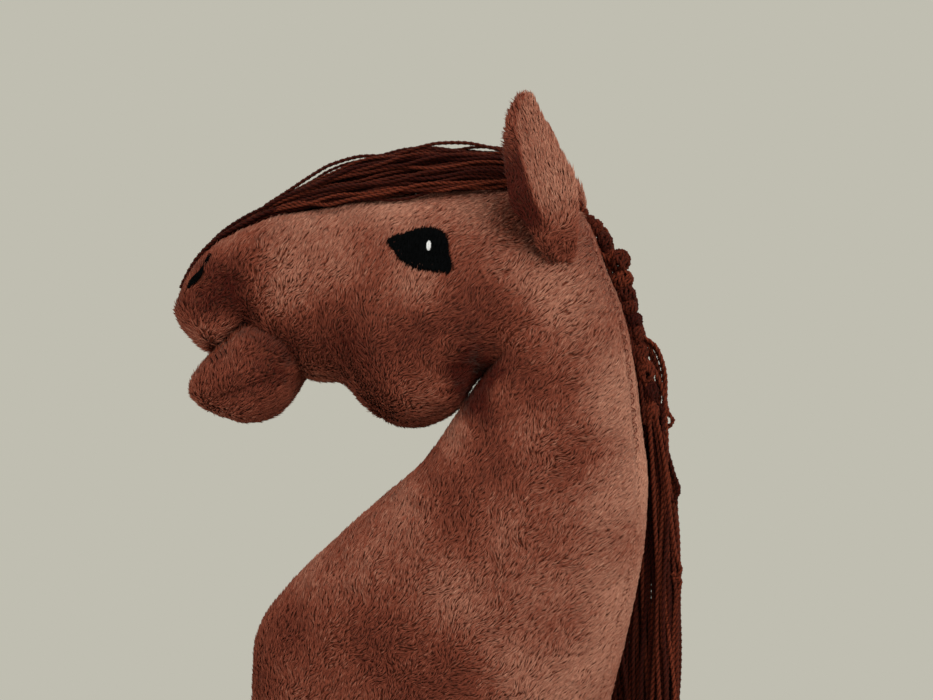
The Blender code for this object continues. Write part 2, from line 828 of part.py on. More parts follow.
def add_mane(sections, parent):
    lift = LOCK_RADIUS + YARN_CLEARANCE
    scale_x = NECK_DEPTH / drawn_extent(NECK_PATTERN, 0)
    for number, (station, angle, column_number, end_mm) in enumerate(MANE_RUNS, 1):
        column = MANE_COLUMN_MM * scale_x - column_number * (2 * LOCK_RADIUS + LOCK_GAP)
        end = end_mm * MM
        point = surface(sections, station, math.radians(angle), lift)
        points = [point.copy()]
        drop = (point.z - end) / max(3, round((point.z - end) / MANE_STEP))
        while point.z - drop > end - drop / 2:
            point = point.copy()
            point.z -= drop
            point.x += (column - point.x) * MANE_DRIFT
            stay_outside(sections, points[-1], point, lift)
            points.append(point)
        lock(f"mane_lock_{number}", points, lock_radii(len(points)), parent)


# The whole toy

def build():
    for old in list(bpy.data.objects):
        bpy.data.objects.remove(old, do_unlink=True)
    add_stick()
    neck_base = STICK_LENGTH - STICK_IN_NECK
    head = add_empty("head_on_stick", (0, 0, neck_base), None)
    sections = body_sections()
    throat = len(NECK_PATTERN) - 1
    mouth = throat + 1 + MOUTH_SECTION
    room = add_sleeve(head)
    add_stuffing(sections, throat, room, head)
    left_panel = add_cover(sections, throat, mouth, head)
    right_panel = bpy.data.objects["right_side_panel"]
    near_lip = sections[throat + 1 + LIP_CUT_FROM:]
    add_lip(near_lip, lip_sections(sections[mouth][0]), head)
    for word, side, cloth in (("left", -1, left_panel), ("right", 1, right_panel)):
        add_ear(word, side, sections, head)
        add_eye(word, side, sections, sections[throat][0], cloth, head)
        add_nostril(word, side, sections, cloth, head)
    add_forelock(sections, head)
    add_curls(sections, head)
    add_mane(sections, head)


build()
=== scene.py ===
# Hobby horse: plush, yarn, embroidery and wood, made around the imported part.
# The horse faces -X, its left side is towards -Y, and lengths are in metres unless a name says mm.

import json
import math

import bmesh
import bpy
import numpy as np
from mathutils import Euler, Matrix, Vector
from mathutils.bvhtree import BVHTree


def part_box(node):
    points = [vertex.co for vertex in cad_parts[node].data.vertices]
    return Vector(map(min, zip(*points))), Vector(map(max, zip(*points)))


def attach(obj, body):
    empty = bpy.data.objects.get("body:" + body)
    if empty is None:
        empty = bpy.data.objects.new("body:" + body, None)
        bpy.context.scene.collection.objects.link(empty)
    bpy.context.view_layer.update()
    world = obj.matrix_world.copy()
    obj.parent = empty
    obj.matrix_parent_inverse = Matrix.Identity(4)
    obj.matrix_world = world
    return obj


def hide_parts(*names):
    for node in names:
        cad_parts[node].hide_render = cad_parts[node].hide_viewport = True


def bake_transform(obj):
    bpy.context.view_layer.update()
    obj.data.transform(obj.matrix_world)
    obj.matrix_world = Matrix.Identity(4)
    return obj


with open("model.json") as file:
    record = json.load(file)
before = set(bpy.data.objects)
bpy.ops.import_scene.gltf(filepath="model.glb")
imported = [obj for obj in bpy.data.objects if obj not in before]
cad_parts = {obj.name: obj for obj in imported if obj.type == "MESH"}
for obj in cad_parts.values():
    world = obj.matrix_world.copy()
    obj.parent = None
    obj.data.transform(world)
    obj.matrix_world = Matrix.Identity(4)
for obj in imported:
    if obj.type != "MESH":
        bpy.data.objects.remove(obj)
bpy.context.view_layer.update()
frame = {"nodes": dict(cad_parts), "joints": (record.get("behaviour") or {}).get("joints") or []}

mm = 0.001
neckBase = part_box("neck_base_panel")[0].z
scene = bpy.context.scene
print("frame loaded, neck base at", round(neckBase, 4))


# small tools

def linear(hexText):
    parts = [int(hexText[i:i + 2], 16) / 255 for i in (1, 3, 5)]
    return [((c + 0.055) / 1.055) ** 2.4 if c > 0.04045 else c / 12.92 for c in parts] + [1.0]


def addNode(tree, kind, settings=None, inputs=None):
    new = tree.nodes.new("ShaderNode" + kind)
    for key, value in (settings or {}).items():
        setattr(new, key, value)
    for key, value in (inputs or {}).items():
        if isinstance(value, bpy.types.NodeSocket):
            tree.links.new(value, new.inputs[key])
        else:
            new.inputs[key].default_value = value
    return new


def newMaterial(name, roughness, specular=0.3, sheen=0.0, sheenTint="#ffffff"):
    material = bpy.data.materials.new(name)
    material.use_nodes = True
    shader = material.node_tree.nodes["Principled BSDF"]
    shader.inputs["Roughness"].default_value = roughness
    shader.inputs["Metallic"].default_value = 0.0
    shader.inputs["Specular IOR Level"].default_value = specular
    shader.inputs["Sheen Weight"].default_value = sheen
    shader.inputs["Sheen Tint"].default_value = linear(sheenTint)
    return material, material.node_tree, shader


def meshFrom(name, points, triangles, material, uv=None):
    points = np.asarray(points, np.float32)
    loops = np.asarray(triangles, np.int32).reshape(-1)
    mesh = bpy.data.meshes.new(name)
    mesh.vertices.add(len(points))
    mesh.vertices.foreach_set("co", points.reshape(-1))
    mesh.loops.add(len(loops))
    mesh.loops.foreach_set("vertex_index", loops)
    mesh.polygons.add(len(loops) // 3)
    mesh.polygons.foreach_set("loop_start", np.arange(0, len(loops), 3, dtype=np.int32))
    mesh.polygons.foreach_set("use_smooth", np.ones(len(loops) // 3, bool))
    if uv is not None:
        layer = mesh.uv_layers.new(name="OFBake")
        layer.data.foreach_set("uv", np.asarray(uv, np.float32)[loops].reshape(-1))
    mesh.update()
    mesh.materials.append(material)
    piece = bpy.data.objects.new(name, mesh)
    scene.collection.objects.link(piece)
    return piece


def gridTriangles(rows, columns, closed=False, first=0):
    across = columns if closed else columns - 1
    row, column = np.meshgrid(np.arange(rows - 1), np.arange(across), indexing="ij")
    a = first + row * columns + column
    b = first + row * columns + (column + 1) % columns
    c, d = b + columns, a + columns
    return np.stack([a, b, c, a, c, d], -1).reshape(-1, 3)


def closedTube(rows, number, top, bottom):
    # rings of points, closed over a point at either end
    ring = np.arange(number)
    after, last = (ring + 1) % number, (rows - 1) * number
    over = np.stack([last + ring, last + after, np.full(number, top)], 1)
    under = np.stack([after, ring, np.full(number, bottom)], 1)
    return np.concatenate([gridTriangles(rows, number, closed=True), over, under])


def facing(points, triangles):
    corners = points[triangles]
    return np.cross(corners[:, 1] - corners[:, 0], corners[:, 2] - corners[:, 0])


def unit(vectors):
    return vectors / np.maximum(np.linalg.norm(vectors, axis=-1, keepdims=True), 1e-12)


def flatOn(normals, ways):
    return ways - normals * (ways * normals).sum(1, keepdims=True)


def swung(ways, normals, turn):
    # turned within the surface
    return ways * np.cos(turn)[:, None] + np.cross(normals, ways) * np.sin(turn)[:, None]


def ripple(points, size, seed, waves=24):
    # smooth noise, about -1 to 1, that changes over the given size
    draw = np.random.default_rng(seed)
    turns = draw.normal(0, 1, (waves, 3)) / size
    starts = draw.uniform(0, 2 * math.pi, waves)
    return np.sin(points @ turns.T + starts).sum(1) / math.sqrt(waves / 2)


def slopes(values, gaps):
    steps = np.diff(values) / gaps
    inner = (steps[:-1] * gaps[1:] + steps[1:] * gaps[:-1]) / (gaps[:-1] + gaps[1:])
    return np.concatenate([steps[:1], inner, steps[-1:]])


def curveAt(value, gaps, slope, i, t):
    # a smooth curve through the values, at the share t of step i
    return (
        (2 * t ** 3 - 3 * t ** 2 + 1) * value[i] + (t ** 3 - 2 * t ** 2 + t) * gaps[i] * slope[i]
        + (3 * t ** 2 - 2 * t ** 3) * value[i + 1] + (t ** 3 - t ** 2) * gaps[i] * slope[i + 1]
    )


def along(points, count):
    # a smooth line through a few points, cut into even steps
    points = np.asarray(points, float)
    gaps = np.maximum(np.linalg.norm(np.diff(points, axis=0), axis=1), 1e-6)
    at = np.concatenate([[0], np.cumsum(gaps)])
    to = np.linspace(0, at[-1], count)
    i = np.clip(np.searchsorted(at, to, side="right") - 1, 0, len(gaps) - 1)
    t = (to - at[i]) / gaps[i]
    return np.stack([curveAt(column, gaps, slopes(column, gaps), i, t) for column in points.T], 1)


# the stuffed form: the pattern's side outline in mm, as rows of
# lower or front edge (x, z), upper or back edge (x, z), half width

neckOutline = [
    ((-86, 0), (62, 0), 38), ((-110, 7), (82, 7), 47), ((-128, 22), (98, 22), 54),
    ((-138.5, 45), (107, 45), 58), ((-142, 80), (115, 76), 60), ((-137, 118), (126, 120), 60),
    ((-117.5, 146), (134, 158), 60), ((-84, 179), (139, 196), 59), ((-49, 210), (140, 230), 57),
    ((-19, 237), (136.5, 258), 55), ((0, 262), (132, 296), 53), ((12, 279), (125, 335), 52),
    ((19.6, 289), (119, 354), 52), ((26.6, 299), (110.6, 373), 51),
]
headOutline = [        # from the throat crease
    ((-9.8, -4.9), (67.9, 110.6), 51), ((-16.1, -13.3), (39.9, 126.7), 53),
    ((-23.1, -25.9), (11.9, 129.5), 56), ((-40.6, -37.1), (-16.1, 128.1), 58),
    ((-61.6, -38.5), (-42, 126.7), 58), ((-81.2, -28), (-65.8, 124.6), 56),
    ((-100.1, -9.1), (-91, 121.1), 51), ((-123.2, -6.3), (-116.2, 116.9), 47),
    ((-145.6, 7.7), (-138.6, 113.4), 44), ((-168, 31.5), (-159.6, 107.8), 43),
    ((-182, 23.1), (-177.8, 100.1), 43), ((-196, 15.4), (-193.2, 91), 41),
    ((-208.6, 22.4), (-204.4, 79.1), 35), ((-216.3, 30.8), (-212.8, 63.7), 25),
    ((-219.5, 36.8), (-217.8, 52), 13),
]
lipOutline = [         # from the corner of the mouth
    ((41, -30), (30, 2), 28), ((32.6, -43.6), (13.6, 5.4), 40), ((24.4, -56.2), (3.0, 5.0), 41),
    ((13.6, -65.1), (-7.4, 0.2), 40.5), ((-1.4, -68.6), (-17.6, -8.6), 39),
    ((-16.8, -65.1), (-26.6, -17.6), 36), ((-29.4, -60.5), (-33.8, -25.4), 32),
    ((-35.0, -56), (-38.4, -31.6), 26), ((-39.4, -52.5), (-40.8, -36.5), 14),
]
stuffing = {
    "roundness": 2.2,          # 2 is an ellipse, more is boxier
    "pile": 3.6 * mm,          # the cloth's backing lies this far inside the fur's tips
    "tipBulge": 3.0 * mm,      # how far the nose and the lip close in front of their last section
    "seamDepth": 1.5 * mm,     # how far a seam draws the cloth in
    "seamWidth": 0.05,         # radians round a section
    "plumpWidth": 0.6,         # and how far a plump lip reaches
    "gusset": 2 * math.pi * 2 / 32,        # half width of a gusset, radians round a section
    "lining": 2 * math.pi * 3 / 32,        # and of the lower lip's lining
    "fill": 0.9,               # share of a padded piece that is filling
}
# hollows (+) and swellings (-) of the filling: x mm, z mm, radius mm, depth mm
bodyRelief = [
    (-152, 352, 26, 6.0), (-120, 345, 20, 1.5), (-185, 338, 12, -1.5), (-165, 323, 11, -2.5),
    (-172, 336, 6, 1.6), (-163, 336, 6, 1.6), (-154, 335, 6, 1.4), (-146, 333, 6, 1.2),
    (-112, 312, 18, 2.5), (-60, 300, 34, -3.0), (-20, 275, 20, -2.0), (14, 292, 14, 5.0),
    (28, 312, 18, 2.5), (-30, 345, 24, 1.0), (-85, 392, 30, 1.2), (10, 395, 26, -1.0), (60, 250, 30, 1.6),
    (90, 200, 34, -1.2), (20, 190, 38, 1.4), (-40, 160, 34, -1.2), (60, 120, 40, 1.2), (-20, 90, 34, 1.4),
    (-90, 100, 34, -1.2), (78, 345, 20, 1.2),
]
lipRelief = [
    (-146, 268, 9, -1.5), (-110, 296, 10, 1.5), (-160, 300, 14, -1.5), (-135, 300, 12, -1.0),
    (-158, 281, 4, 1.7), (-152, 282.5, 4, 2.6), (-146, 284.5, 4, 2.8), (-140, 286.5, 4, 2.8),
    (-134, 288.5, 4, 2.6), (-128, 290.5, 4, 2.4), (-122, 293, 4, 2.0),
]


def makeForm(rows, start, relief):
    table = np.array([[*low, *high, half] for low, high, half in rows], float)
    table[:, [0, 2]] += start[0]        # x of both edges, then z
    table[:, [1, 3]] += start[1]
    table *= mm
    table[:, [1, 3]] += neckBase
    form = {"columns": [], "last": len(rows) - 1, "relief": relief}
    for columns in ((0, 1), (2, 3), (0, 1, 2, 3)):
        gaps = np.maximum(np.linalg.norm(np.diff(table[:, columns], axis=0), axis=1), 1e-5)
        for column in columns if len(columns) == 2 else (4,):
            form["columns"].append((table[:, column], gaps, slopes(table[:, column], gaps)))
    return form


def section(form, station):
    i = np.clip(station.astype(int), 0, form["last"] - 1)
    t = np.clip(station, 0, form["last"]) - i
    return [curveAt(*column, i, t) for column in form["columns"]]


def superCos(angle):
    c = np.cos(angle)
    return np.sign(c) * np.abs(c) ** (2 / stuffing["roundness"])


def formPoint(form, station, angle, lift=0.0):
    # angle 0 is the crest or forehead, a quarter turn the horse's right side
    station, angle = np.broadcast_arrays(np.asarray(station, float), np.asarray(angle, float))
    lowX, lowZ, highX, highZ, half = section(form, station)
    past = np.clip(station - form["last"], 0, 1) * math.pi / 2        # beyond the last row it rounds off
    lift = lift + sinkAt(form, station, angle, (lowX + highX) / 2, (lowZ + highZ) / 2)
    alongX, alongZ = highX - lowX, highZ - lowZ
    length = np.maximum(np.hypot(alongX, alongZ), 1e-9)
    alongX, alongZ = alongX / length, alongZ / length
    up = superCos(angle) * np.maximum(length / 2 + lift, 1e-4) * np.cos(past)
    side = superCos(angle - math.pi / 2) * np.maximum(half + lift, 1e-4) * np.cos(past)
    bulge = stuffing["tipBulge"] + np.clip(lift, None, 0)[..., None] * 0.6
    ahead = form["ahead"] * np.sin(past)[..., None] * bulge
    middle = np.stack([(lowX + highX) / 2, np.zeros_like(half), (lowZ + highZ) / 2], -1)
    return middle + ahead + np.stack([alongX * up, side, alongZ * up], -1)


def sinkAt(form, station, angle, middleX, middleZ):
    # seams draw the cloth in, and the filling leaves hollows and lumps
    lowX, lowZ, highX, highZ, half = section(form, station)
    x = (middleX + superCos(angle) * (highX - lowX) / 2) / mm
    z = (middleZ + superCos(angle) * (highZ - lowZ) / 2 - neckBase) / mm
    flank = np.abs(superCos(angle - math.pi / 2))
    lift = np.zeros_like(half)
    for placeX, placeZ, radius, depth in form["relief"]:
        away = ((x - placeX) ** 2 + (z - placeZ) ** 2) / radius ** 2
        lift -= depth * mm * np.exp(-away) * flank
    for middle, spread, line, rise in form["plump"]:
        aside = (np.mod(angle - line + math.pi, 2 * math.pi) - math.pi) / stuffing["plumpWidth"]
        lift += rise * mm * np.exp(-((station - middle) / spread) ** 2 - aside ** 2)
    for first, last, line in form["seams"]:
        off = (np.mod(angle - line + math.pi, 2 * math.pi) - math.pi) / stuffing["seamWidth"]
        within = np.clip((station - first) * 2, 0, 1) * np.clip((last - station) * 2, 0, 1)
        lift -= stuffing["seamDepth"] * np.exp(-off ** 2) * within
    return lift


def tipDirection(form):
    lowX, lowZ, highX, highZ = section(form, np.array([form["last"] - 1.0, form["last"]]))[:4]
    step = np.array([np.diff(lowX + highX)[0], 0, np.diff(lowZ + highZ)[0]])
    return unit(step)


crease = neckOutline[-1][0]
mouthCorner = (crease[0] + headOutline[9][0][0], crease[1] + headOutline[9][0][1])
headRows = [
    ((low[0] + crease[0], low[1] + crease[1]), (high[0] + crease[0], high[1] + crease[1]), half)
    for low, high, half in headOutline
]
body = makeForm(neckOutline + headRows, (0, 0), bodyRelief)
lip = makeForm(lipOutline, mouthCorner, lipRelief)
throat, mouth, nose, lipTip = 13, 23, 28, 8        # stations, as rows of the outlines
gusset, lining = stuffing["gusset"], stuffing["lining"]
# first and last station, and where it runs round the section
body["seams"] = [(0, nose + 0.5, angle) for angle in (gusset, -gusset, math.pi - gusset, math.pi + gusset)]
lip["seams"] = [(0, lipTip + 0.5, angle) for angle in (lining, -lining, math.pi)]
# the lips are stuffed full where they meet: station, reach, angle, mm
body["plump"] = [(25.0, 1.6, math.pi, 2.2), (22.9, 0.9, math.pi - 0.8, 3.4), (22.9, 0.9, math.pi + 0.8, 3.4)]
lip["plump"] = [(5.0, 2.2, 0.0, 1.8), (2.2, 1.2, 0.8, 3.4), (2.2, 1.2, -0.8, 3.4)]
for form in (body, lip):
    form["ahead"] = tipDirection(form)


# the studio: pale floor, soft lamps, camera where the photographer stood

studio = {
    "floor": ("#c9c7c1", "#c4c2bb"), "floorRadius": 2.2, "backdrop": "#c0beb1",
    "sky": 0.64, "skyTint": (1.0, 0.985, 0.96, 1.0),
    # name, place and size in metres, watts
    "lamps": [("key_softbox", (0.9, -1.5, 2.0), 1.3, 29), ("fill_softbox", (-1.5, -1.1, 1.0), 1.2, 8),
              ("back_softbox", (0.5, 1.7, 1.9), 1.3, 11)],
    "aim": (0.0116, 0.0, 0.875), "azimuth": 7.0, "elevation": 0.5, "distance": 1.15, "lens": 63.4,
}
colourMix = {"data_type": "RGBA"}        # inputs 6 and 7 are the colours, output 2 the result


def makeStudio():
    world = bpy.data.worlds.new("pale studio")
    scene.world = world
    world.use_nodes = True
    tree = world.node_tree
    tree.nodes.clear()
    seen = addNode(tree, "LightPath")
    direct = seen.outputs["Is Camera Ray"]
    for ray in ("Is Glossy Ray", "Is Transmission Ray"):
        either = addNode(tree, "Math", {"operation": "MAXIMUM"}, {0: direct, 1: seen.outputs[ray]})
        direct = either.outputs[0]
    light = addNode(tree, "Background", None, {"Color": studio["skyTint"], "Strength": studio["sky"]})
    shown = addNode(tree, "Background", None, {"Color": linear(studio["backdrop"]), "Strength": 1.0})
    mix = addNode(tree, "MixShader", None, {0: direct, 1: light.outputs[0], 2: shown.outputs[0]})
    addNode(tree, "OutputWorld", None, {"Surface": mix.outputs[0]})

    # a painted floor: nearly even, with a faint patchiness
    material, tree, shader = newMaterial("matte studio floor", 0.8, 0.2)
    grain = addNode(tree, "TexNoise", None, {"Scale": 3.0, "Detail": 4.0})
    pale, grey = [linear(colour) for colour in studio["floor"]]
    tone = addNode(tree, "Mix", colourMix, {0: grain.outputs["Fac"], 6: pale, 7: grey})
    tree.links.new(tone.outputs[2], shader.inputs["Base Color"])
    mesh = bpy.data.meshes.new("studio_floor")
    work = bmesh.new()
    bmesh.ops.create_circle(work, cap_ends=True, segments=96, radius=studio["floorRadius"])
    work.to_mesh(mesh)
    work.free()
    mesh.materials.append(material)
    floor = bpy.data.objects.new("studio_floor", mesh)
    floor.location = (0, 0, -0.5 * mm)
    scene.collection.objects.link(floor)

    for name, place, size, power in studio["lamps"]:
        data = bpy.data.lights.new(name, "AREA")
        data.shape = "DISK"
        data.size = size
        data.energy = power
        lamp = bpy.data.objects.new(name, data)
        lamp.location = place
        lamp.rotation_euler = (Vector(studio["aim"]) - Vector(place)).to_track_quat("-Z", "Y").to_euler()
        scene.collection.objects.link(lamp)

    turn, rise = math.radians(studio["azimuth"]), math.radians(studio["elevation"])
    back = Vector((math.sin(turn) * math.cos(rise), -math.cos(turn) * math.cos(rise), math.sin(rise)))
    data = bpy.data.cameras.new("photo_view")
    data.lens = studio["lens"]
    data.sensor_width = 36.0
    data.clip_start = 0.05
    camera = bpy.data.objects.new("photo_view", data)
    camera.location = Vector(studio["aim"]) + back * studio["distance"]
    camera.rotation_euler = (-back).to_track_quat("-Z", "Y").to_euler()
    scene.collection.objects.link(camera)
    scene.camera = camera
    scene.view_settings.view_transform = "Standard"


makeStudio()
print("studio set")


# plush: short, lustreless polyester pile that stands in fine pointed tufts over a knitted backing

plush = {
    # colours of the darkest, middle and palest tufts, at the root and at the tip; the roots are painted
    # darker than the tips, a painted shade deep in the pile
    "root": ("#2f0d07", "#713727", "#b78168"), "tip": ("#4b150b", "#8a4834", "#c18b72"),
    "backing": ("#7e412e", "#4c2214"),
    "spacing": 1.38 * mm,      # between tufts, as the photographed ones
    "strands": 2,              # in a tuft; a real one has dozens, too fine to show
    "radius": 0.47 * mm,       # of a strand, drawn coarse enough to show
    "thick": (0.75, 1.2),      # thinnest and thickest, as shares of it
    "turned": 0.6,             # radians that a strand is turned round itself
    "length": 6.5 * mm,
    "uneven": 0.16,            # share by which the length differs
    "lean": 65.0,              # degrees from upright
    "leanSpread": 7.0,
    "smooth": 7.0, "ruffled": 20.0,        # degrees more where it is smooth, fewer where it is ruffled
    "leanPatches": 3.0,        # degrees
    "tone": 0.57,              # of the average tuft, from 0 dark to 1 pale
    "tonePatches": 0.06, "toneTufts": 0.07, "toneStrands": 0.05,       # by which it differs
    "toneCurve": 1.25,         # more than 1 leaves fewer pale ones
    "stray": 0.5 * mm,         # of a tuft's tip to the side
    "rootSpread": 0.75 * mm,   # of the strands round their tuft
    "gather": 0.25,            # how much of a strand's offset is left at the tuft's tip
    "tipSpread": 0.2 * mm,
    "shortest": 0.82,          # strand, as a share of the tuft's length
    "rise": 0.35,              # how far a strand stands up before it bends over
    "rings": [(0.0, 1.0), (0.5, 1.0)],     # share of the way up, share of the radius
    "piece": 9900,             # tufts in one piece
}
mouthCoat = dict(plush, length=6.6 * mm, spacing=1.8 * mm, lean=60.0)
crestCoat = dict(plush, length=4.6 * mm, lean=72.0)        # brushed flat between the ladder stitches
earCoat = dict(plush, length=6.0 * mm, spacing=1.2 * mm, lean=66.0)
baseCoat = dict(plush, length=6.0 * mm)


def threeTone(tree, tone, colours, middleAt=0.4):
    dark, middle, light = [linear(colour) for colour in colours]
    low, high = [
        addNode(tree, "MapRange", {"clamp": True}, {"Value": tone, "From Min": start, "From Max": end})
        for start, end in ((0.0, middleAt), (middleAt, 1.0))]
    first = addNode(tree, "Mix", colourMix, {0: low.outputs[0], 6: dark, 7: middle})
    return addNode(tree, "Mix", colourMix, {0: high.outputs[0], 6: first.outputs[2], 7: light})


def pileMaterial(name, root, tip):
    # the map runs root to tip across and dark to light tuft up; the darker roots are painted shade down in
    # the pile, the paler tips painted light where they catch it
    material, tree, shader = newMaterial(name, 0.9, 0.08, 0.06, "#ffd9c0")
    place = addNode(tree, "UVMap", {"uv_map": "OFBake"})
    parts = addNode(tree, "SeparateXYZ", None, {0: place.outputs[0]})
    low, high = threeTone(tree, parts.outputs[1], root), threeTone(tree, parts.outputs[1], tip)
    whole = addNode(tree, "Mix", colourMix, {0: parts.outputs[0], 6: low.outputs[2], 7: high.outputs[2]})
    tree.links.new(whole.outputs[2], shader.inputs["Base Color"])
    return material


def knitMaterial(light, dark):
    # seen only in the partings: small dull loops 1.2 mm apart, in uneven tones
    material, tree, shader = newMaterial("knitted plush backing", 0.95, 0.1)
    place = addNode(tree, "TexCoord").outputs["Object"]
    loops = addNode(tree, "TexVoronoi", None, {"Vector": place, "Scale": 1 / (1.2 * mm)})
    patches = addNode(tree, "TexNoise", None, {"Vector": place, "Scale": 90.0, "Detail": 3.0})
    tone = addNode(tree, "Mix", colourMix, {0: patches.outputs["Fac"], 6: linear(light), 7: linear(dark)})
    bump = addNode(tree, "Bump", None, {
        "Strength": 0.5, "Distance": 0.3 * mm, "Height": loops.outputs["Distance"]})
    tree.links.new(tone.outputs[2], shader.inputs["Base Color"])
    tree.links.new(bump.outputs[0], shader.inputs["Normal"])
    return material


chestnutPile = pileMaterial("chestnut plush pile", plush["root"], plush["tip"])
mouthPile = pileMaterial(
    "mouth plush pile", ("#300e08", "#602818", "#985f48"), ("#50170b", "#843e28", "#ae7258"))
knitBacking = knitMaterial(*plush["backing"])

# how the pile lies in the side view: x mm, z mm, way the tips point (x, z), ruffle 0 to 1, tone; the tone is
# painted light and shade: darker in the muzzle hollow, round the mouth corner, under the cheek and deepest
# in the throat crease, paler on the lit crest, forehead and neck
combing = [
    (-154, 388, 0.20, 1.00, 0.20, 0.10), (-105, 406, 0.35, 0.94, 0.15, 0.15),
    (-35, 416, 0.50, 0.85, 0.10, 0.20), (21, 420, 0.80, 0.55, 0.15, 0.12),
    (-21, 357, 0.45, 0.90, 0.15, 0.08), (-70, 378, 0.42, 0.90, 0.15, 0.12),
    (-110, 375, 0.40, 0.90, 0.35, 0.12), (28, 385, 0.70, 0.65, 0.25, 0.05),
    (60, 400, 0.85, 0.40, 0.40, 0.00), (-178, 362, 0.00, 1.00, 0.50, -0.05),
    (-165, 360, 0.15, 1.00, 0.90, -0.38), (-152, 352, 0.35, 0.90, 1.00, -0.66),
    (-165, 345, 0.20, 0.90, 1.00, -0.62), (-140, 342, 0.40, 0.90, 1.00, -0.52),
    (-126, 362, 0.55, 0.80, 0.80, -0.05), (-190, 338, -0.30, 0.95, 0.40, -0.05),
    (-178, 348, 0.00, 0.95, 0.80, -0.35), (-172, 326, -0.30, 0.95, 0.10, 0.10),
    (-155, 326, 0.00, 0.95, 0.15, 0.06), (-120, 348, 0.60, 0.80, 0.50, 0.05),
    (-108, 325, 0.40, 0.90, 0.90, -0.35), (-120, 315, 0.40, 0.90, 0.90, -0.40),
    (-85, 318, 0.35, 0.90, 0.80, -0.30), (-60, 312, 0.35, 0.90, 0.70, -0.32),
    (-48, 336, 0.40, 0.90, 0.50, -0.18), (-20, 302, 0.50, 0.85, 0.50, -0.32),
    (-95, 300, 0.40, 0.90, 0.40, 0.00), (-49, 290, 0.40, 0.90, 0.60, -0.30),
    (-28, 268, 0.50, 0.80, 0.50, -0.16), (-45, 278, 0.45, 0.85, 0.60, -0.25),
    (0, 315, 0.60, 0.80, 0.60, -0.15), (15, 299, 0.50, 0.80, 0.60, -1.10),
    (20, 290, 0.50, 0.80, 0.60, -1.10), (-3, 287, 0.50, 0.85, 0.40, -0.10),
    (27, 298, 0.60, 0.75, 0.60, -0.95), (36, 309, 0.60, 0.75, 0.60, -0.45),
    (38, 284, 0.60, 0.75, 0.40, 0.00), (47, 322, 0.70, 0.70, 0.40, -0.10),
    (-157, 282, 0.30, 0.90, 0.30, -0.28), (-146, 285.5, 0.40, 0.90, 0.40, -0.42),
    (-131, 291, 0.50, 0.85, 0.50, -0.42), (-170, 284, 0.10, 1.00, 0.20, 0.00),
    (-160, 270, 0.30, 0.90, 0.10, 0.04), (-138, 300, 0.35, 0.90, 0.80, -0.22),
    (-170, 316, -0.80, 0.50, 0.10, 0.04), (-155, 316, -0.70, 0.60, 0.15, 0.03),
    (-186, 326, -0.50, 0.80, 0.10, 0.02), (-150, 274, 0.50, 0.85, 0.10, 0.00),
    (-135, 276, 0.60, 0.80, 0.10, 0.00), (-155, 292, 0.30, 0.95, 0.30, -0.05),
    (-147, 300, 0.20, 1.00, 0.20, 0.00), (-125, 298, 0.40, 0.90, 0.90, -0.45),
    (-140, 272, 0.60, 0.80, 0.15, 0.02), (-168, 297, -0.05, 1.00, 0.30, -0.04),
    (-152, 282, 0.40, 0.90, 0.40, -0.15), (-120, 280, 0.60, 0.80, 0.20, 0.00),
    (35, 329, 0.70, 0.70, 0.40, -0.18), (77, 350, 0.85, 0.50, 0.20, 0.15),
    (7, 259, 0.30, 0.95, 0.25, 0.12), (56, 259, 0.60, 0.80, 0.30, 0.00),
    (77, 245, 0.80, 0.60, 0.80, -0.15), (119, 280, 0.90, 0.35, 0.05, 0.30),
    (119, 220, 0.90, 0.35, 0.05, 0.30), (112, 150, 0.90, 0.40, 0.10, 0.25),
    (100, 90, 0.85, 0.50, 0.15, 0.20), (-35, 210, 0.40, 0.90, 0.25, 0.08),
    (-91, 161, 0.50, 0.85, 0.30, -0.06), (-119, 98, 0.75, 0.65, 0.40, -0.14),
    (0, 150, 0.60, 0.75, 0.40, 0.00), (-14, 105, 0.70, 0.60, 0.90, -0.20),
    (70, 126, 0.80, 0.60, 0.25, 0.10), (35, 205, 0.55, 0.85, 0.40, -0.05),
    (0, 40, 0.60, 0.80, 0.30, -0.06), (-80, 40, 0.60, 0.80, 0.30, -0.10),
]
poll = np.array([94, 0, 410]) * mm + np.array([0, 0, neckBase])


def combedAt(points, normals):
    table = np.array(combing)
    x = points[:, 0] / mm
    z = (points[:, 2] - neckBase) / mm
    away = (x[:, None] - table[:, 0]) ** 2 + (z[:, None] - table[:, 1]) ** 2
    weight = 1 / (away + 110.0) ** 1.8        # each row counts most near its own place
    weight /= weight.sum(1, keepdims=True)
    mixed = weight @ table[:, 2:]
    way = unit(np.stack([mixed[:, 0], np.zeros(len(x)), mixed[:, 1]], 1))
    ways = flatOn(normals, way)
    ways += 0.35 * flatOn(normals, unit(poll - points))        # all of it is drawn a little to the poll
    ways = unit(ways)
    ruffle = mixed[:, 2]
    turn = ripple(points, 13 * mm, 3) * (0.06 + 0.22 * ruffle)
    turn += ripple(points, 4 * mm, 4) * (0.08 + 0.42 * ruffle)
    # the table's last column, its painted light and shade, goes on as the tuft's tone
    return swung(ways, normals, turn), ruffle, mixed[:, 3], np.ones(len(points))


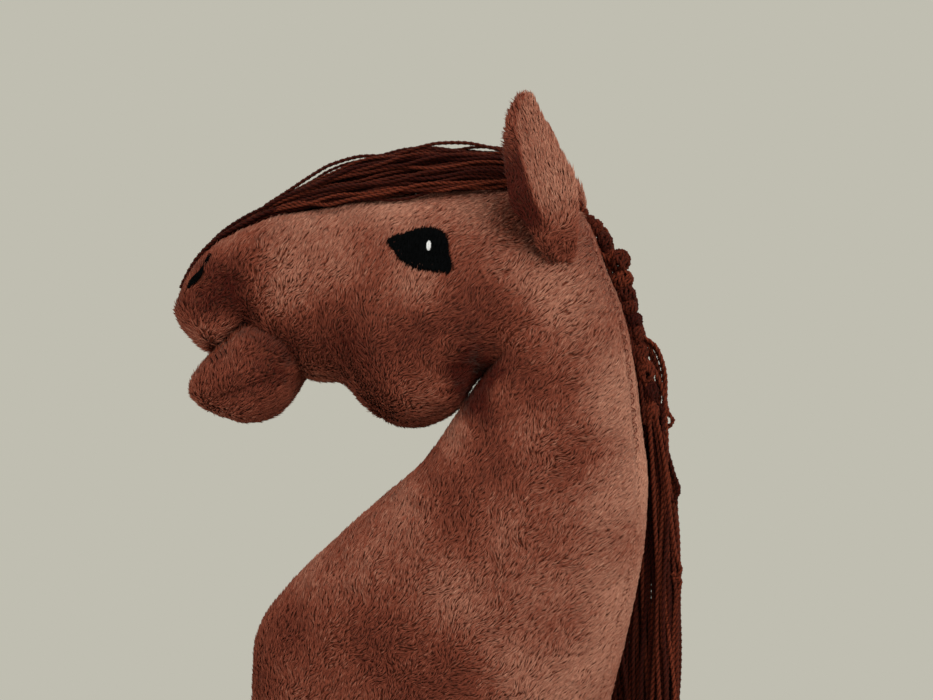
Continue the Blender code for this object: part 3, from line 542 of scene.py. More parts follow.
def tuftMesh(name, places, normals, ways, lengths, leans, tones, coat, material, draw):
    count, each = len(places), coat["strands"]
    side = np.cross(ways, normals)
    lean = np.radians(leans + coat["leanSpread"] * draw.uniform(-1, 1, count))
    length = lengths * (1 + coat["uneven"] * draw.uniform(-1, 1, count))
    tips = places + length[:, None] * (np.cos(lean)[:, None] * normals + np.sin(lean)[:, None] * ways)
    tips += side * (coat["stray"] * draw.normal(0, 1, count))[:, None]
    of = np.repeat(np.arange(count), each)
    total = len(of)
    turn = draw.uniform(0, 2 * math.pi, total)
    away = np.sqrt(draw.uniform(0, 1, total)) * coat["rootSpread"]
    offset = ways[of] * (np.cos(turn) * away)[:, None] + side[of] * (np.sin(turn) * away)[:, None]
    root = places[of] + offset - normals[of] * 0.4 * mm        # rooted in the cloth
    tip = tips[of] + offset * coat["gather"] + draw.normal(0, coat["tipSpread"], (total, 3))
    tip = root + (tip - root) * draw.uniform(coat["shortest"], 1, total)[:, None]
    bend = root + normals[of] * (length[of] * coat["rise"])[:, None]
    axis = unit(tip - root)
    wide = unit(np.cross(axis, normals[of]))
    high = np.cross(wide, axis)
    roll = draw.uniform(-coat["turned"], coat["turned"], total)
    thick = coat["radius"] * draw.uniform(*coat["thick"], total)
    points = []
    for share, width in coat["rings"]:
        middle = (1 - share) ** 2 * root + 2 * share * (1 - share) * bend + share ** 2 * tip
        for corner in range(3):
            a = roll + math.pi / 2 + corner * 2 * math.pi / 3
            out = wide * np.cos(a)[:, None] + high * np.sin(a)[:, None]
            points.append(middle + out * (thick * width)[:, None])
    points.append(tip)
    per, rings = len(points), len(coat["rings"])
    faces = [(0, 2, 1)]
    for ring in range(rings - 1):
        for corner in range(3):
            a, b = ring * 3 + corner, ring * 3 + (corner + 1) % 3
            faces += [(a, b, b + 3), (a, b + 3, a + 3)]
    faces += [((rings - 1) * 3 + c, (rings - 1) * 3 + (c + 1) % 3, per - 1) for c in range(3)]
    triangles = np.array(faces)[None] + (np.arange(total) * per)[:, None, None]
    up = np.array([share for share, width in coat["rings"] for corner in range(3)] + [1.0])
    spread = np.array([0.0, 0.004, -0.004] * rings + [0.0])
    tone = np.clip(np.repeat(tones, each) + draw.normal(0, coat["toneStrands"], total), 0.02, 0.99)
    tone = np.clip(tone ** coat["toneCurve"], 0.01, 0.98)
    uv = np.stack([np.tile(up, total), np.repeat(tone, per) + np.tile(spread, total)], 1)
    return meshFrom(name, np.stack(points, 1).reshape(-1, 3), triangles, material, uv)


def scatter(points, triangles, spacing, draw):
    # roots spread evenly over a mesh, in the order of its faces; also the smooth normals there
    faces = facing(points, triangles)
    smooth = np.zeros_like(points)
    for corner in range(3):
        np.add.at(smooth, triangles[:, corner], faces)
    room = np.linalg.norm(faces, axis=1) / 2 / spacing ** 2
    number = np.floor(room + draw.uniform(0, 1, len(faces))).astype(int)
    face = np.repeat(np.arange(len(number)), number)
    nth = np.arange(len(face)) - np.repeat(np.cumsum(number) - number, number)
    one, two = (draw.uniform(0, 1, (2, len(number)))[:, face] + np.outer((0.7549, 0.5698), nth)) % 1
    over = one + two > 1
    one[over], two[over] = 1 - one[over], 1 - two[over]
    share = np.stack([1 - one - two, one, two], 1)[..., None]
    places = (points[triangles[face]] * share).sum(1)
    normals = unit((unit(smooth)[triangles[face]] * share).sum(1))
    return places, normals


def growPile(name, points, triangles, draw, coat=plush, material=chestnutPile, keep=None, comb=combedAt,
             bodyName="head"):
    places, normals = scatter(points, triangles, coat["spacing"], draw)
    if keep is not None:
        kept = keep(places, normals)
        places, normals = places[kept], normals[kept]
    ways, ruffle, shade, longer = comb(places, normals)
    leans = coat["lean"] + coat["smooth"] - coat["ruffled"] * ruffle
    leans += coat["leanPatches"] * ripple(places, 9 * mm, 6)
    # shade is the comb's painted light and shade; the patches and tufts differ at random
    tones = coat["tone"] + shade + coat["tonePatches"] * ripple(places, 16 * mm, 5)
    tones += coat["toneTufts"] * draw.normal(0, 1, len(places))
    made = []
    for number, first in enumerate(range(0, len(places), coat["piece"]), 1):
        part = slice(first, first + coat["piece"])
        pile = tuftMesh(f"{name}_pile_{number}", places[part], normals[part], ways[part],
                        coat["length"] * longer[part], leans[part], tones[part], coat, material, draw)
        if bodyName:
            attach(pile, bodyName)
        made.append(pile)
    print(name, "pile:", len(places), "tufts in", len(made))
    return made


# the sewn cloth under the pile, one piece for each cut panel

# name: form, stations, angles, the nodes that it replaces
panels = {
    "left_side_plush": (body, (0, nose + 1), (-math.pi + gusset, -gusset),
                        ["left_side_panel", "neck_stuffing", "head_stuffing"]),
    "right_side_plush": (body, (0, nose + 1), (gusset, math.pi - gusset), ["right_side_panel"]),
    "crest_plush": (body, (0, throat + 1), (-gusset, gusset), ["crest_gusset"]),
    "forehead_plush": (body, (throat + 1, nose + 1), (-gusset, gusset), ["forehead_gusset"]),
    "chest_plush": (body, (0, throat), (math.pi - gusset, math.pi + gusset), ["chest_gusset"]),
    "chin_plush": (body, (throat, mouth), (math.pi - gusset, math.pi + gusset), ["chin_gusset"]),
    "upper_mouth_plush": (body, (mouth, nose + 1), (math.pi - gusset, math.pi + gusset),
                          ["mouth_lining_upper"]),
    "lower_mouth_plush": (lip, (0, lipTip + 1), (-lining, lining), ["mouth_lining_lower"]),
    "lower_lip_left_plush": (lip, (0, lipTip + 1), (-math.pi, -lining),
                             ["lower_lip_left_cover", "lower_lip_stuffing"]),
    "lower_lip_right_plush": (lip, (0, lipTip + 1), (lining, math.pi), ["lower_lip_right_cover"]),
}
# mesh rows a station and columns a radian, of the cloth and of the finer face that the pile grows on
cloth = {"rows": 6, "columns": 26, "pileRows": 12, "pileColumns": 40, "thickness": 1.2 * mm}


def makePanel(name, form, stations, angles, nodes):
    rows = int((stations[1] - stations[0]) * cloth["rows"]) + 1
    columns = max(4, int((angles[1] - angles[0]) * cloth["columns"])) + 1
    s = np.linspace(stations[0], stations[1] - (0.02 if stations[1] > form["last"] else 0), rows)
    a = np.linspace(angles[0], angles[1], columns)
    sheets = []
    for lift in (-stuffing["pile"], -stuffing["pile"] - cloth["thickness"]):
        sheets.append(formPoint(form, s[:, None], a[None, :], lift).reshape(-1, 3))
    outer = gridTriangles(rows, columns)
    inner = gridTriangles(rows, columns, first=rows * columns)[:, ::-1]
    border = list(range(columns)) + [r * columns + columns - 1 for r in range(1, rows)]
    border += [(rows - 1) * columns + c for c in range(columns - 2, -1, -1)]
    border += [r * columns for r in range(rows - 2, 0, -1)]
    edge, deeper = [], rows * columns
    for first, second in zip(border, border[1:] + border[:1]):
        edge += [(second, first, first + deeper), (second, first + deeper, second + deeper)]
    triangles = np.concatenate([outer, inner, np.array(edge)])
    piece = meshFrom(name, np.concatenate(sheets), triangles, knitBacking)
    facesOut(piece)
    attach(piece, "head")
    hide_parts(*nodes)
    return piece


def facesOut(piece):
    work = bmesh.new()
    work.from_mesh(piece.data)
    bmesh.ops.recalc_face_normals(work, faces=work.faces)
    work.to_mesh(piece.data)
    work.free()


cloths = {name: makePanel(name, *facts) for name, facts in panels.items()}
print("cloth panels sewn:", len(cloths))


def treeOf(*pieces):
    points, faces = [], []
    for piece in pieces:
        first = len(points)
        points += [v.co.copy() for v in piece.data.vertices]
        faces += [[first + i for i in p.vertices] for p in piece.data.polygons]
    return BVHTree.FromPolygons(points, faces)


bodyTree = treeOf(*[cloths[name] for name in panels if panels[name][0] is body])
lipTree = treeOf(*[cloths[name] for name in panels if panels[name][0] is lip])


def outside(tree, depth):
    # keeps the roots that don't lie deeper than depth inside another form
    def test(places, normals):
        kept = np.ones(len(places), bool)
        for i, place in enumerate(places):
            near, way, _, _ = tree.find_nearest(Vector(place), 30 * mm)
            if near is not None and (Vector(place) - near).dot(way) < -depth:
                kept[i] = False
        return kept
    return test


def onCloth(x, z, side, above, tree=bodyTree):
    # a place on the cloth, seen from the horse's left (-1) or right (+1), or None beside it
    hit, normal, _, _ = tree.ray_cast(Vector((x, side * 0.2, z)), Vector((0, -side, 0)), 0.2)
    if hit is None:
        return None
    if normal.y * side < 0:
        normal = -normal
    return np.array(hit + normal * above)


# embroidery: where it lies, no pile grows

# rows of stitches are: degrees from level, then mm between the threads, longest stitch, height over the
# cloth's backing (the pile round it stands a little higher) and how far the ends wander
eyeWork = {
    # side view, mm from the eye's middle; the middle and the glint are on the same paper
    "outline": [(-22.5, 7.2), (-10.4, 12.7), (4.3, 16.0), (11, 15.2), (16.0, 12.0), (18.6, 7.5),
                (19.9, -1.2), (21.8, -9.4), (20.2, -14.8), (15.5, -13.4), (8.3, -12.8), (-2.4, -11.0),
                (-8.0, -8.2), (-13.3, -4.7), (-17.6, 0.6)],
    "shift": (0.3, -0.95), "grow": 1.004,
    "under": (12, 0.8, 9, 2.4, 0.25), "cover": (78, 0.46, 6.5, 2.9, 1.3), "thread": 0.30 * mm,
    "glint": (6.3, 3.5), "glintSize": (3.0, 6.8),
    "glintCover": (90, 0.42, 9, 3.6, 0.15), "glintThread": 0.28 * mm,
}
nostrilWork = {
    # side view, mm: x, z and the band's width, from its upper end
    "run": [(-163.9, 380.8, 1.8), (-165.5, 375.4, 2.2), (-167.4, 370.8, 2.2), (-169.6, 367.2, 3.6),
            (-173.4, 363.4, 4.4), (-178.4, 358.2, 2.2)],
    "under": (115, 0.8, 9, 2.5, 0.1), "cover": (25, 0.42, 9, 3.0, 0.7), "thread": 0.3 * mm,
}


def smoothOutline(points, count=72):
    # run round and a little on, then cut where it comes by its first point again
    start = np.array(points[0])
    line = along(points[-1:] + points + points[:2], (len(points) + 3) * 16)
    first = np.argmin(np.linalg.norm(line - start, axis=1)[:40])
    last = len(line) - 1 - np.argmin(np.linalg.norm(line[::-1] - start, axis=1)[:40])
    return along(line[first:last], count)


def inside(outline, points):
    found = np.zeros(len(points), bool)
    for a, b in zip(outline, np.roll(outline, -1, axis=0)):
        between = (a[1] > points[:, 1]) != (b[1] > points[:, 1])
        cross = a[0] + (points[:, 1] - a[1]) * (b[0] - a[0]) / (b[1] - a[1] + 1e-12)
        found ^= between & (points[:, 0] < cross)
    return found


def bandOutline(run):
    run = along(run, 24)
    way = unit(np.gradient(run[:, :2], axis=0))
    across = np.stack([-way[:, 1], way[:, 0]], 1) * run[:, 2:3] / 2
    return np.concatenate([run[:, :2] + across, (run[:, :2] - across)[::-1]])


def satin(outline, side, rows, draw):
    # rows of stitches across an outline in the side view, laid on the cloth
    slant, spacing, stitch, above, wander = rows
    spacing, stitch, above = spacing * mm, stitch * mm, above * mm
    way = np.array([math.cos(math.radians(slant)), math.sin(math.radians(slant))])
    across = np.array([-way[1], way[0]])
    a, b = outline @ way, outline @ across
    lines = []
    for number, level in enumerate(np.arange(b.min() + spacing / 2, b.max(), spacing)):
        nextA, nextB = np.roll(a, -1), np.roll(b, -1)
        crossing = (b > level) != (nextB > level)
        ends = np.sort(a[crossing] + (level - b[crossing]) * (nextA - a)[crossing] / (nextB - b)[crossing])
        for first, last in zip(ends[::2], ends[1::2]):
            if last - first < 0.5 * mm:
                continue
            first += draw.uniform(-1, 1) * wander * mm
            last += draw.uniform(-1, 1) * wander * mm
            pieces = max(1, math.ceil((last - first) / stitch))
            shift = (number % 3 - 1) * 0.28        # so that stitches of neighbouring rows don't end together
            cuts = [first + (last - first) * (i + shift) / pieces for i in range(1, pieces)]
            cuts = [first] + cuts + [last]
            for start, stop in zip(cuts, cuts[1:]):
                t = np.linspace(0, 1, max(5, int((stop - start) / (1.1 * mm))))
                line = []
                for share in t:
                    at = way * (start + (stop - start) * share) + across * level
                    dip = 0.45 * mm * abs(2 * share - 1) ** 4        # a stitch goes down at its ends
                    place = onCloth(at[0], at[1], side, above - dip)
                    if place is not None:
                        line.append(place)
                if len(line) > 3:
                    lines.append(np.array(line))
    return lines


def threadPiece(name, lines, radius, material, draw, nodes=(), plies=1):
    piece = tubes(name, lines, [radius] * len(lines), material, draw, plies, 4, 1.6 * mm)
    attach(piece, "head")
    if nodes:
        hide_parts(*nodes)


drawn = np.array(eyeWork["outline"])
drawnMiddle = (drawn.min(0) + drawn.max(0)) / 2
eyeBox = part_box("left_eye")
eyeMiddle = (eyeBox[0] + eyeBox[1]) / 2
eyePlace = np.array([eyeMiddle.x, eyeMiddle.z]) + np.array(eyeWork["shift"]) * mm
eyeOutline = (smoothOutline(eyeWork["outline"]) - drawnMiddle) * eyeWork["grow"] * mm + eyePlace
turn = np.linspace(0, 2 * math.pi, 40, endpoint=False)
glintOutline = np.stack([np.cos(turn), np.sin(turn)], 1) * eyeWork["glintSize"] / 2 * mm
glintOutline += eyePlace + (np.array(eyeWork["glint"]) - drawnMiddle) * mm
nostrilOutline = bandOutline(nostrilWork["run"]) * mm + np.array([0, neckBase])


def offEmbroidery(places, normals):
    # the pile's tips reach up over the lower edges, so its roots stop a little inside them
    flat = places[:, [0, 2]] + np.array([0.6, 1.4]) * mm
    beside = np.abs(places[:, 1]) > 12 * mm
    return ~((inside(eyeOutline, flat) | inside(nostrilOutline, flat)) & beside)


def embroider():
    draw = np.random.default_rng(51)
    for word, side in (("left", -1), ("right", 1)):
        lines = satin(eyeOutline, side, eyeWork["under"], draw)
        lines = satin(eyeOutline, side, eyeWork["cover"], draw) + lines
        threadPiece(word + "_eye_stitches", lines, eyeWork["thread"], blackThread,
                    draw, [word + "_eye"])
        lines = satin(glintOutline, side, eyeWork["glintCover"], draw)
        threadPiece(word + "_glint_stitches", lines, eyeWork["glintThread"], whiteThread,
                    draw, [word + "_eye_sparkle"])
        lines = satin(nostrilOutline, side, nostrilWork["cover"], draw)
        lines += satin(nostrilOutline, side, nostrilWork["under"], draw)
        threadPiece(word + "_nostril_stitches", lines, nostrilWork["thread"], blackThread,
                    draw, [word + "_nostril"])
    print("eyes and nostrils embroidered")


# hand sewing that shows: the ladder along the crest and a few stitches at the lip

handStitch = {
    "apart": 5.0 * mm, "radius": 0.48 * mm, "lift": 0.2 * mm,
    "from": 13.7, "to": 8.6,       # stations of the crest
    "slant": 0.045,                # stations
    "reach": 0.046,                # radians to either side of the seam
    "lip": [(-161.5, 306.0), (-157.8, 308.2), (-154.2, 310.4), (-150.6, 312.4)],       # side view, mm
    "lipRun": [(-1.6, 1.6), (0, 0.2), (1.4, -1.2)],        # of each stitch there, mm
    "lipRadius": 0.4 * mm, "lipLift": 3.2 * mm,
}


def handSew():
    draw = np.random.default_rng(55)
    lines = []
    for side in (-1, 1):
        station = np.linspace(handStitch["from"], handStitch["to"], 400)
        seam = formPoint(body, station, np.full(400, side * gusset))
        gone = np.concatenate([[0], np.cumsum(np.linalg.norm(np.diff(seam, axis=0), axis=1))])
        for number, at in enumerate(np.arange(0, gone[-1], handStitch["apart"])):
            slant = handStitch["slant"] * (1 if number % 2 else -1)
            s = np.interp(at, gone, station) + slant * np.array([-1, 0, 1])
            a = side * (gusset + handStitch["reach"] * np.array([-1, 0, 1]) * draw.uniform(0.8, 1.1))
            lift = handStitch["lift"] + np.array([-0.8, 1.0, -0.8]) * mm
            lines.append(along(formPoint(body, s, a, lift), 7))
    threadPiece("crest_stitches", lines, handStitch["radius"], rustThread, draw, plies=2)
    lines = []
    for x, z in handStitch["lip"]:
        for side in (-1, 1):
            ends = [onCloth((x + dx) * mm, (z + dz) * mm + neckBase, side, handStitch["lipLift"], lipTree)
                    for dx, dz in handStitch["lipRun"]]
            if all(end is not None for end in ends):
                lines.append(along(np.array(ends), 7))
    threadPiece("lip_stitches", lines, handStitch["lipRadius"], blackThread, draw, plies=2)
    print("hand stitches sewn")


# ears: folded plush leaves that are bent from a soft root

ear = {
    "forward": 19.0, "splay": 10.0,        # degrees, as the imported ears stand
    "rise": 6.0, "height": 97.0, "depth": 44.0, "breadth": 24.0,       # mm
    # height share, depth share, breadth share, lean mm, how far in towards the head mm
    "rows": [(-0.24, 0.30, 0.30, 1, 9), (-0.14, 0.52, 0.48, 2, 5.5), (-0.04, 0.62, 0.58, 3, 2.5),
             (0.06, 0.74, 0.68, 3.6, 0.8), (0.14, 0.85, 0.78, 4, 0), (0.30, 1, 1, 4.5, 0),
             (0.48, 0.88, 0.98, 4.5, 0), (0.65, 0.72, 0.88, 5, 0), (0.80, 0.60, 0.74, 7, 0),
             (0.92, 0.44, 0.60, 10, 0), (0.985, 0.26, 0.44, 13.5, 0)],
    "outer": -2.6, "inner": -5.0,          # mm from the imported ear's outer face
    "crease": (60.0, 8.0, 2.0),            # where it folds, how wide (degrees round) and deep (mm)
    "fold": (0.34, 0.10),                  # depth share where the painted shade in the front edge's fold ends, how softly
    "tufts": [(0.36, 0.06, 1.0), (0.62, 0.05, 0.8)],       # on the rear edge: height share, reach, strength
}


def earFrame(word):
    side = -1 if word == "left" else 1
    joint = [joint for joint in frame["joints"] if joint["name"] == word + "_ear_flex"][0]
    turn = Euler((side * math.radians(-ear["splay"]), math.radians(-ear["forward"]), 0)).to_matrix()
    return side, np.array(joint["pos_m"], float), np.array(turn)


def makeEar(word):
    side, hinge, turn = earFrame(word)
    draw = np.random.default_rng(61 if side < 0 else 62)
    rows = np.array(ear["rows"], float)
    gaps = np.diff(rows[:, 0])
    levels = np.linspace(rows[0, 0], rows[-1, 0], 44)
    i = np.clip(np.searchsorted(rows[:, 0], levels, side="right") - 1, 0, len(gaps) - 1)
    t = (levels - rows[i, 0]) / gaps[i]
    depth, breadth, lean, inward = [curveAt(row, gaps, slopes(row, gaps), i, t) for row in rows.T[1:]]
    around = np.radians(np.linspace(-90, 90, 19))
    loop = np.concatenate([around, around[::-1]])
    inner = np.concatenate([np.zeros(19), np.ones(19)])
    lift = np.where(inner > 0, ear["inner"], ear["outer"])
    at, wide, fold = ear["crease"]
    lift = lift - (1 - inner) * fold * np.exp(-((np.degrees(loop) - at) / wide) ** 2)
    back = inner * 1.6        # the lining starts a little further forward
    deep, half = ear["depth"] * depth[:, None], ear["breadth"] / 2 * breadth[:, None]
    x = (deep - back) * np.cos(loop) - deep / 2 + back + lift * np.cos(loop) + lean[:, None]
    y = np.maximum(half + lift, 0.5 + 0.6 * (1 - inner)) * np.sin(loop)
    z = (ear["rise"] + levels * (ear["height"] - ear["rise"]))[:, None] + 0 * loop
    wave = 0.9 * np.sin(levels * 9 + 1.3)[:, None]        # the leaf isn't quite even
    local = np.stack([x + wave * 0.5, (y * side) - side * inward[:, None] + wave * 0.4, z], -1) * mm
    tip = local[-1].mean(0) + np.array([0.6, 0, 1.6]) * mm
    points = np.concatenate([local.reshape(-1, 3), [tip, local[0].mean(0)]])
    triangles = closedTube(len(levels), len(loop), len(points) - 2, len(points) - 1)
    points = hinge + points @ turn.T
    if ((points[triangles[:, 0]] - hinge) * facing(points, triangles)).sum() < 0:
        triangles = triangles[:, ::-1]
    leaf = meshFrom(word + "_ear_plush", points, triangles, knitBacking)
    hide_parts(word + "_ear_outer", word + "_ear_lining")

    up, forward = turn @ np.array([0.0, 0, 1]), turn @ np.array([-1.0, 0, 0])

    def comb(places, normals):
        here = (places - hinge) @ turn / mm
        level = (here[:, 2] - ear["rise"]) / (ear["height"] - ear["rise"])
        over = np.interp(level, levels, depth) * ear["depth"]
        share = (here[:, 0] - np.interp(level, levels, lean) + over / 2) / over
        low = np.clip((0.22 - level) / 0.3, 0, 1)
        out = (share - 0.45) * 0.5 * np.clip(level, 0, 1)
        way = up + forward * (-out[:, None] - 0.9 * low[:, None])
        flat = unit(flatOn(normals, way))
        rough = 0.10 + 0.5 * low + 0.25 * (share < 0.25)
        turned = ripple(places, 9 * mm, 7) * rough + ripple(places, 3.5 * mm, 8) * rough * 0.6
        flat = swung(flat, normals, turned)
        outward = normals @ (turn @ np.array([0.0, side, 0])) > -0.35
        # painted shade in the fold of the front edge, fading towards the tip
        foldEnd, foldSoft = ear["fold"]
        foldShade = np.clip((foldEnd - share) / foldSoft, 0, 1) * np.clip(level * 6, 0, 1)
        foldShade *= 1 - 0.7 * np.clip((level - 0.5) / 0.3, 0, 1)
        # the pile stands up in tufts on the rear edge and at the tip
        tufted = sum(size * np.exp(-((level - at) / reach) ** 2) for at, reach, size in ear["tufts"])
        tufted *= np.clip((share - 0.75) * 6, 0, 1)
        tufted += np.clip((level - 0.9) * 10, 0, 1) * (0.5 + 0.5 * ripple(places, 6 * mm, 10))
        # painted shade at the root, in the fold and a little on the lining, and painted light towards the
        # rear edge
        shade = 0.05 - 0.32 * low - 0.72 * foldShade - 0.12 * ~outward + 0.08 * np.clip((share - 0.35) * 3, 0, 1)
        longer = np.where(outward, 1.0, 0.72) * (1 - 0.3 * np.clip((level - 0.86) * 8, 0, 1))
        longer *= 1 + 0.55 * tufted
        return flat, np.clip(0.1 + 0.5 * low + 0.5 * tufted, 0, 1), shade, longer

    pile = growPile(word + "_ear", points, triangles, draw, earCoat, comb=comb, bodyName=None)
    for piece in [leaf] + pile:
        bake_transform(piece)
    print(word, "ear made")


# stick, its cotton sleeve, and the cloth across the bottom of the neck

dowel = {
    "ease": 3.0 * mm,              # rounding of the ends
    "sides": 96,
    "ring": 3.2 * mm,              # between the year rings
    "early": "#e0bf8c", "late": "#b98550", "worn": "#9c6a3c",
    "knot": "#7b4a26", "knotPlace": (0.004, -0.0118, 0.31), "knotSize": (1.6 * mm, 6.2 * mm),
}


def pineMaterial():
    # waxed pine: soft pale early wood, darker late-wood lines that run along the stick, and a low wax gloss
    material, tree, shader = newMaterial("waxed pine dowel", 0.42, 0.4)
    shader.inputs["Coat Weight"].default_value = 0.12
    shader.inputs["Coat Roughness"].default_value = 0.35
    place = addNode(tree, "TexCoord").outputs["Object"]
    long = addNode(tree, "Mapping", None, {
        "Vector": place, "Scale": (1.0, 1.0, 0.045), "Location": (0.031, 0.012, 0.0)})
    bend = addNode(tree, "TexNoise", None, {"Vector": long.outputs[0], "Scale": 60.0, "Detail": 2.0})
    rings = addNode(tree, "TexWave", {"wave_type": "RINGS", "rings_direction": "Z"}, {
        "Vector": long.outputs[0], "Scale": 1 / (dowel["ring"] * 20) * math.pi, "Distortion": 1.4,
        "Detail": 2.0, "Detail Scale": 30.0})
    sharp = addNode(tree, "Math", {"operation": "POWER"}, {0: rings.outputs["Fac"], 1: 2.2})
    fibreAt = addNode(tree, "Mapping", None, {"Vector": place, "Scale": (1.0, 1.0, 0.02)})
    fibre = addNode(tree, "TexNoise", None, {"Vector": fibreAt.outputs[0], "Scale": 1400.0, "Detail": 3.0})
    wood = addNode(tree, "Mix", colourMix, {
        0: sharp.outputs[0], 6: linear(dowel["early"]), 7: linear(dowel["late"])})
    streak = addNode(tree, "Math", {"operation": "MULTIPLY"}, {
        0: fibre.outputs["Fac"], 1: bend.outputs["Fac"]})
    worn = addNode(tree, "Mix", colourMix, {
        0: streak.outputs[0], 6: wood.outputs[2], 7: linear(dowel["worn"])})
    away = addNode(tree, "VectorMath", {"operation": "DISTANCE"}, {0: place, 1: dowel["knotPlace"]})
    core, rim = dowel["knotSize"]
    knot = addNode(tree, "MapRange", {"interpolation_type": "SMOOTHSTEP"}, {
        "Value": away.outputs["Value"], "From Min": core, "From Max": rim, "To Min": 0.85, "To Max": 0.0})
    colour = addNode(tree, "Mix", colourMix, {
        0: knot.outputs[0], 6: worn.outputs[2], 7: linear(dowel["knot"])})
    gloss = addNode(tree, "MapRange", None, {"Value": fibre.outputs["Fac"], "To Min": 0.36, "To Max": 0.52})
    bump = addNode(tree, "Bump", None, {
        "Strength": 0.25, "Distance": 0.15 * mm, "Height": fibre.outputs["Fac"]})
    tree.links.new(colour.outputs[2], shader.inputs["Base Color"])
    tree.links.new(gloss.outputs[0], shader.inputs["Roughness"])
    tree.links.new(bump.outputs[0], shader.inputs["Normal"])
    return material


def makeStick():
    low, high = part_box("stick")
    radius, top, ease = (high.x - low.x) / 2, high.z, dowel["ease"]
    inner, centre = radius - ease, 1.2 * mm        # of the flat ends, which close over a small ring
    turn = np.linspace(0, math.pi / 2, 7)
    profile = [(centre, 0.0)] + [(inner + ease * math.sin(t), ease - ease * math.cos(t)) for t in turn]
    profile += [(radius, z) for z in np.arange(20 * mm, top - 10 * mm, 20 * mm)]
    profile += [(inner + ease * math.cos(t), top - ease + ease * math.sin(t)) for t in turn]
    profile = np.array(profile + [(centre, top)])
    around = np.linspace(0, 2 * math.pi, dowel["sides"], endpoint=False)
    # hand sanded, so not dead true
    out = profile[:, :1] * np.minimum(1 + 0.004 * np.sin(profile[:, 1:2] * 23) * np.cos(around * 2 + 1), 1.0)
    points = np.stack([out * np.cos(around), out * np.sin(around), profile[:, 1:2] + 0 * out], -1)
    points = np.concatenate([points.reshape(-1, 3), [(0, 0, top), (0, 0, 0)]])
    triangles = closedTube(len(profile), len(around), len(points) - 2, len(points) - 1)
    stick = meshFrom("pine_stick", points, triangles, pineMaterial())
    facesOut(stick)
    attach(stick, "stick")
    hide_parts("stick")


def cottonMaterial():
    # plain-woven cotton tape: threads 0.8 mm apart both ways, drawn a little coarse so the weave shows
    material, tree, shader = newMaterial("unbleached cotton sleeve", 0.9, 0.2)
    place = addNode(tree, "TexCoord").outputs["Object"]
    warp, weft = [addNode(tree, "TexWave", {"bands_direction": way}, {
        "Vector": place, "Scale": math.pi / (0.8 * mm * 10)}) for way in ("Z", "DIAGONAL")]
    weave = addNode(tree, "Math", {"operation": "MULTIPLY"}, {
        0: warp.outputs["Fac"], 1: weft.outputs["Fac"]})
    soil = addNode(tree, "TexNoise", None, {"Vector": place, "Scale": 60.0, "Detail": 3.0})
    woven = addNode(tree, "Mix", colourMix, {
        0: weave.outputs[0], 6: linear("#9c8768"), 7: linear("#cfbd9c")})
    colour = addNode(tree, "Mix", colourMix, {
        0: soil.outputs["Fac"], 6: woven.outputs[2], 7: linear("#b39d7a")})
    bump = addNode(tree, "Bump", None, {"Strength": 0.6, "Distance": 0.3 * mm, "Height": weave.outputs[0]})
    tree.links.new(colour.outputs[2], shader.inputs["Base Color"])
    tree.links.new(bump.outputs[0], shader.inputs["Normal"])
    return material


cottonTape = cottonMaterial()

# the turned and whipped edge where the stick goes in
neckHem = {
    "gap": 0.3 * mm,           # round the sleeve
    "out": 1.4 * mm, "up": 0.4 * mm, "radius": 1.3 * mm,
    "whips": 30, "thread": 0.4 * mm,
    "reach": (1.75 * mm, 1.6 * mm),        # of a whip round the edge: outwards, down
}


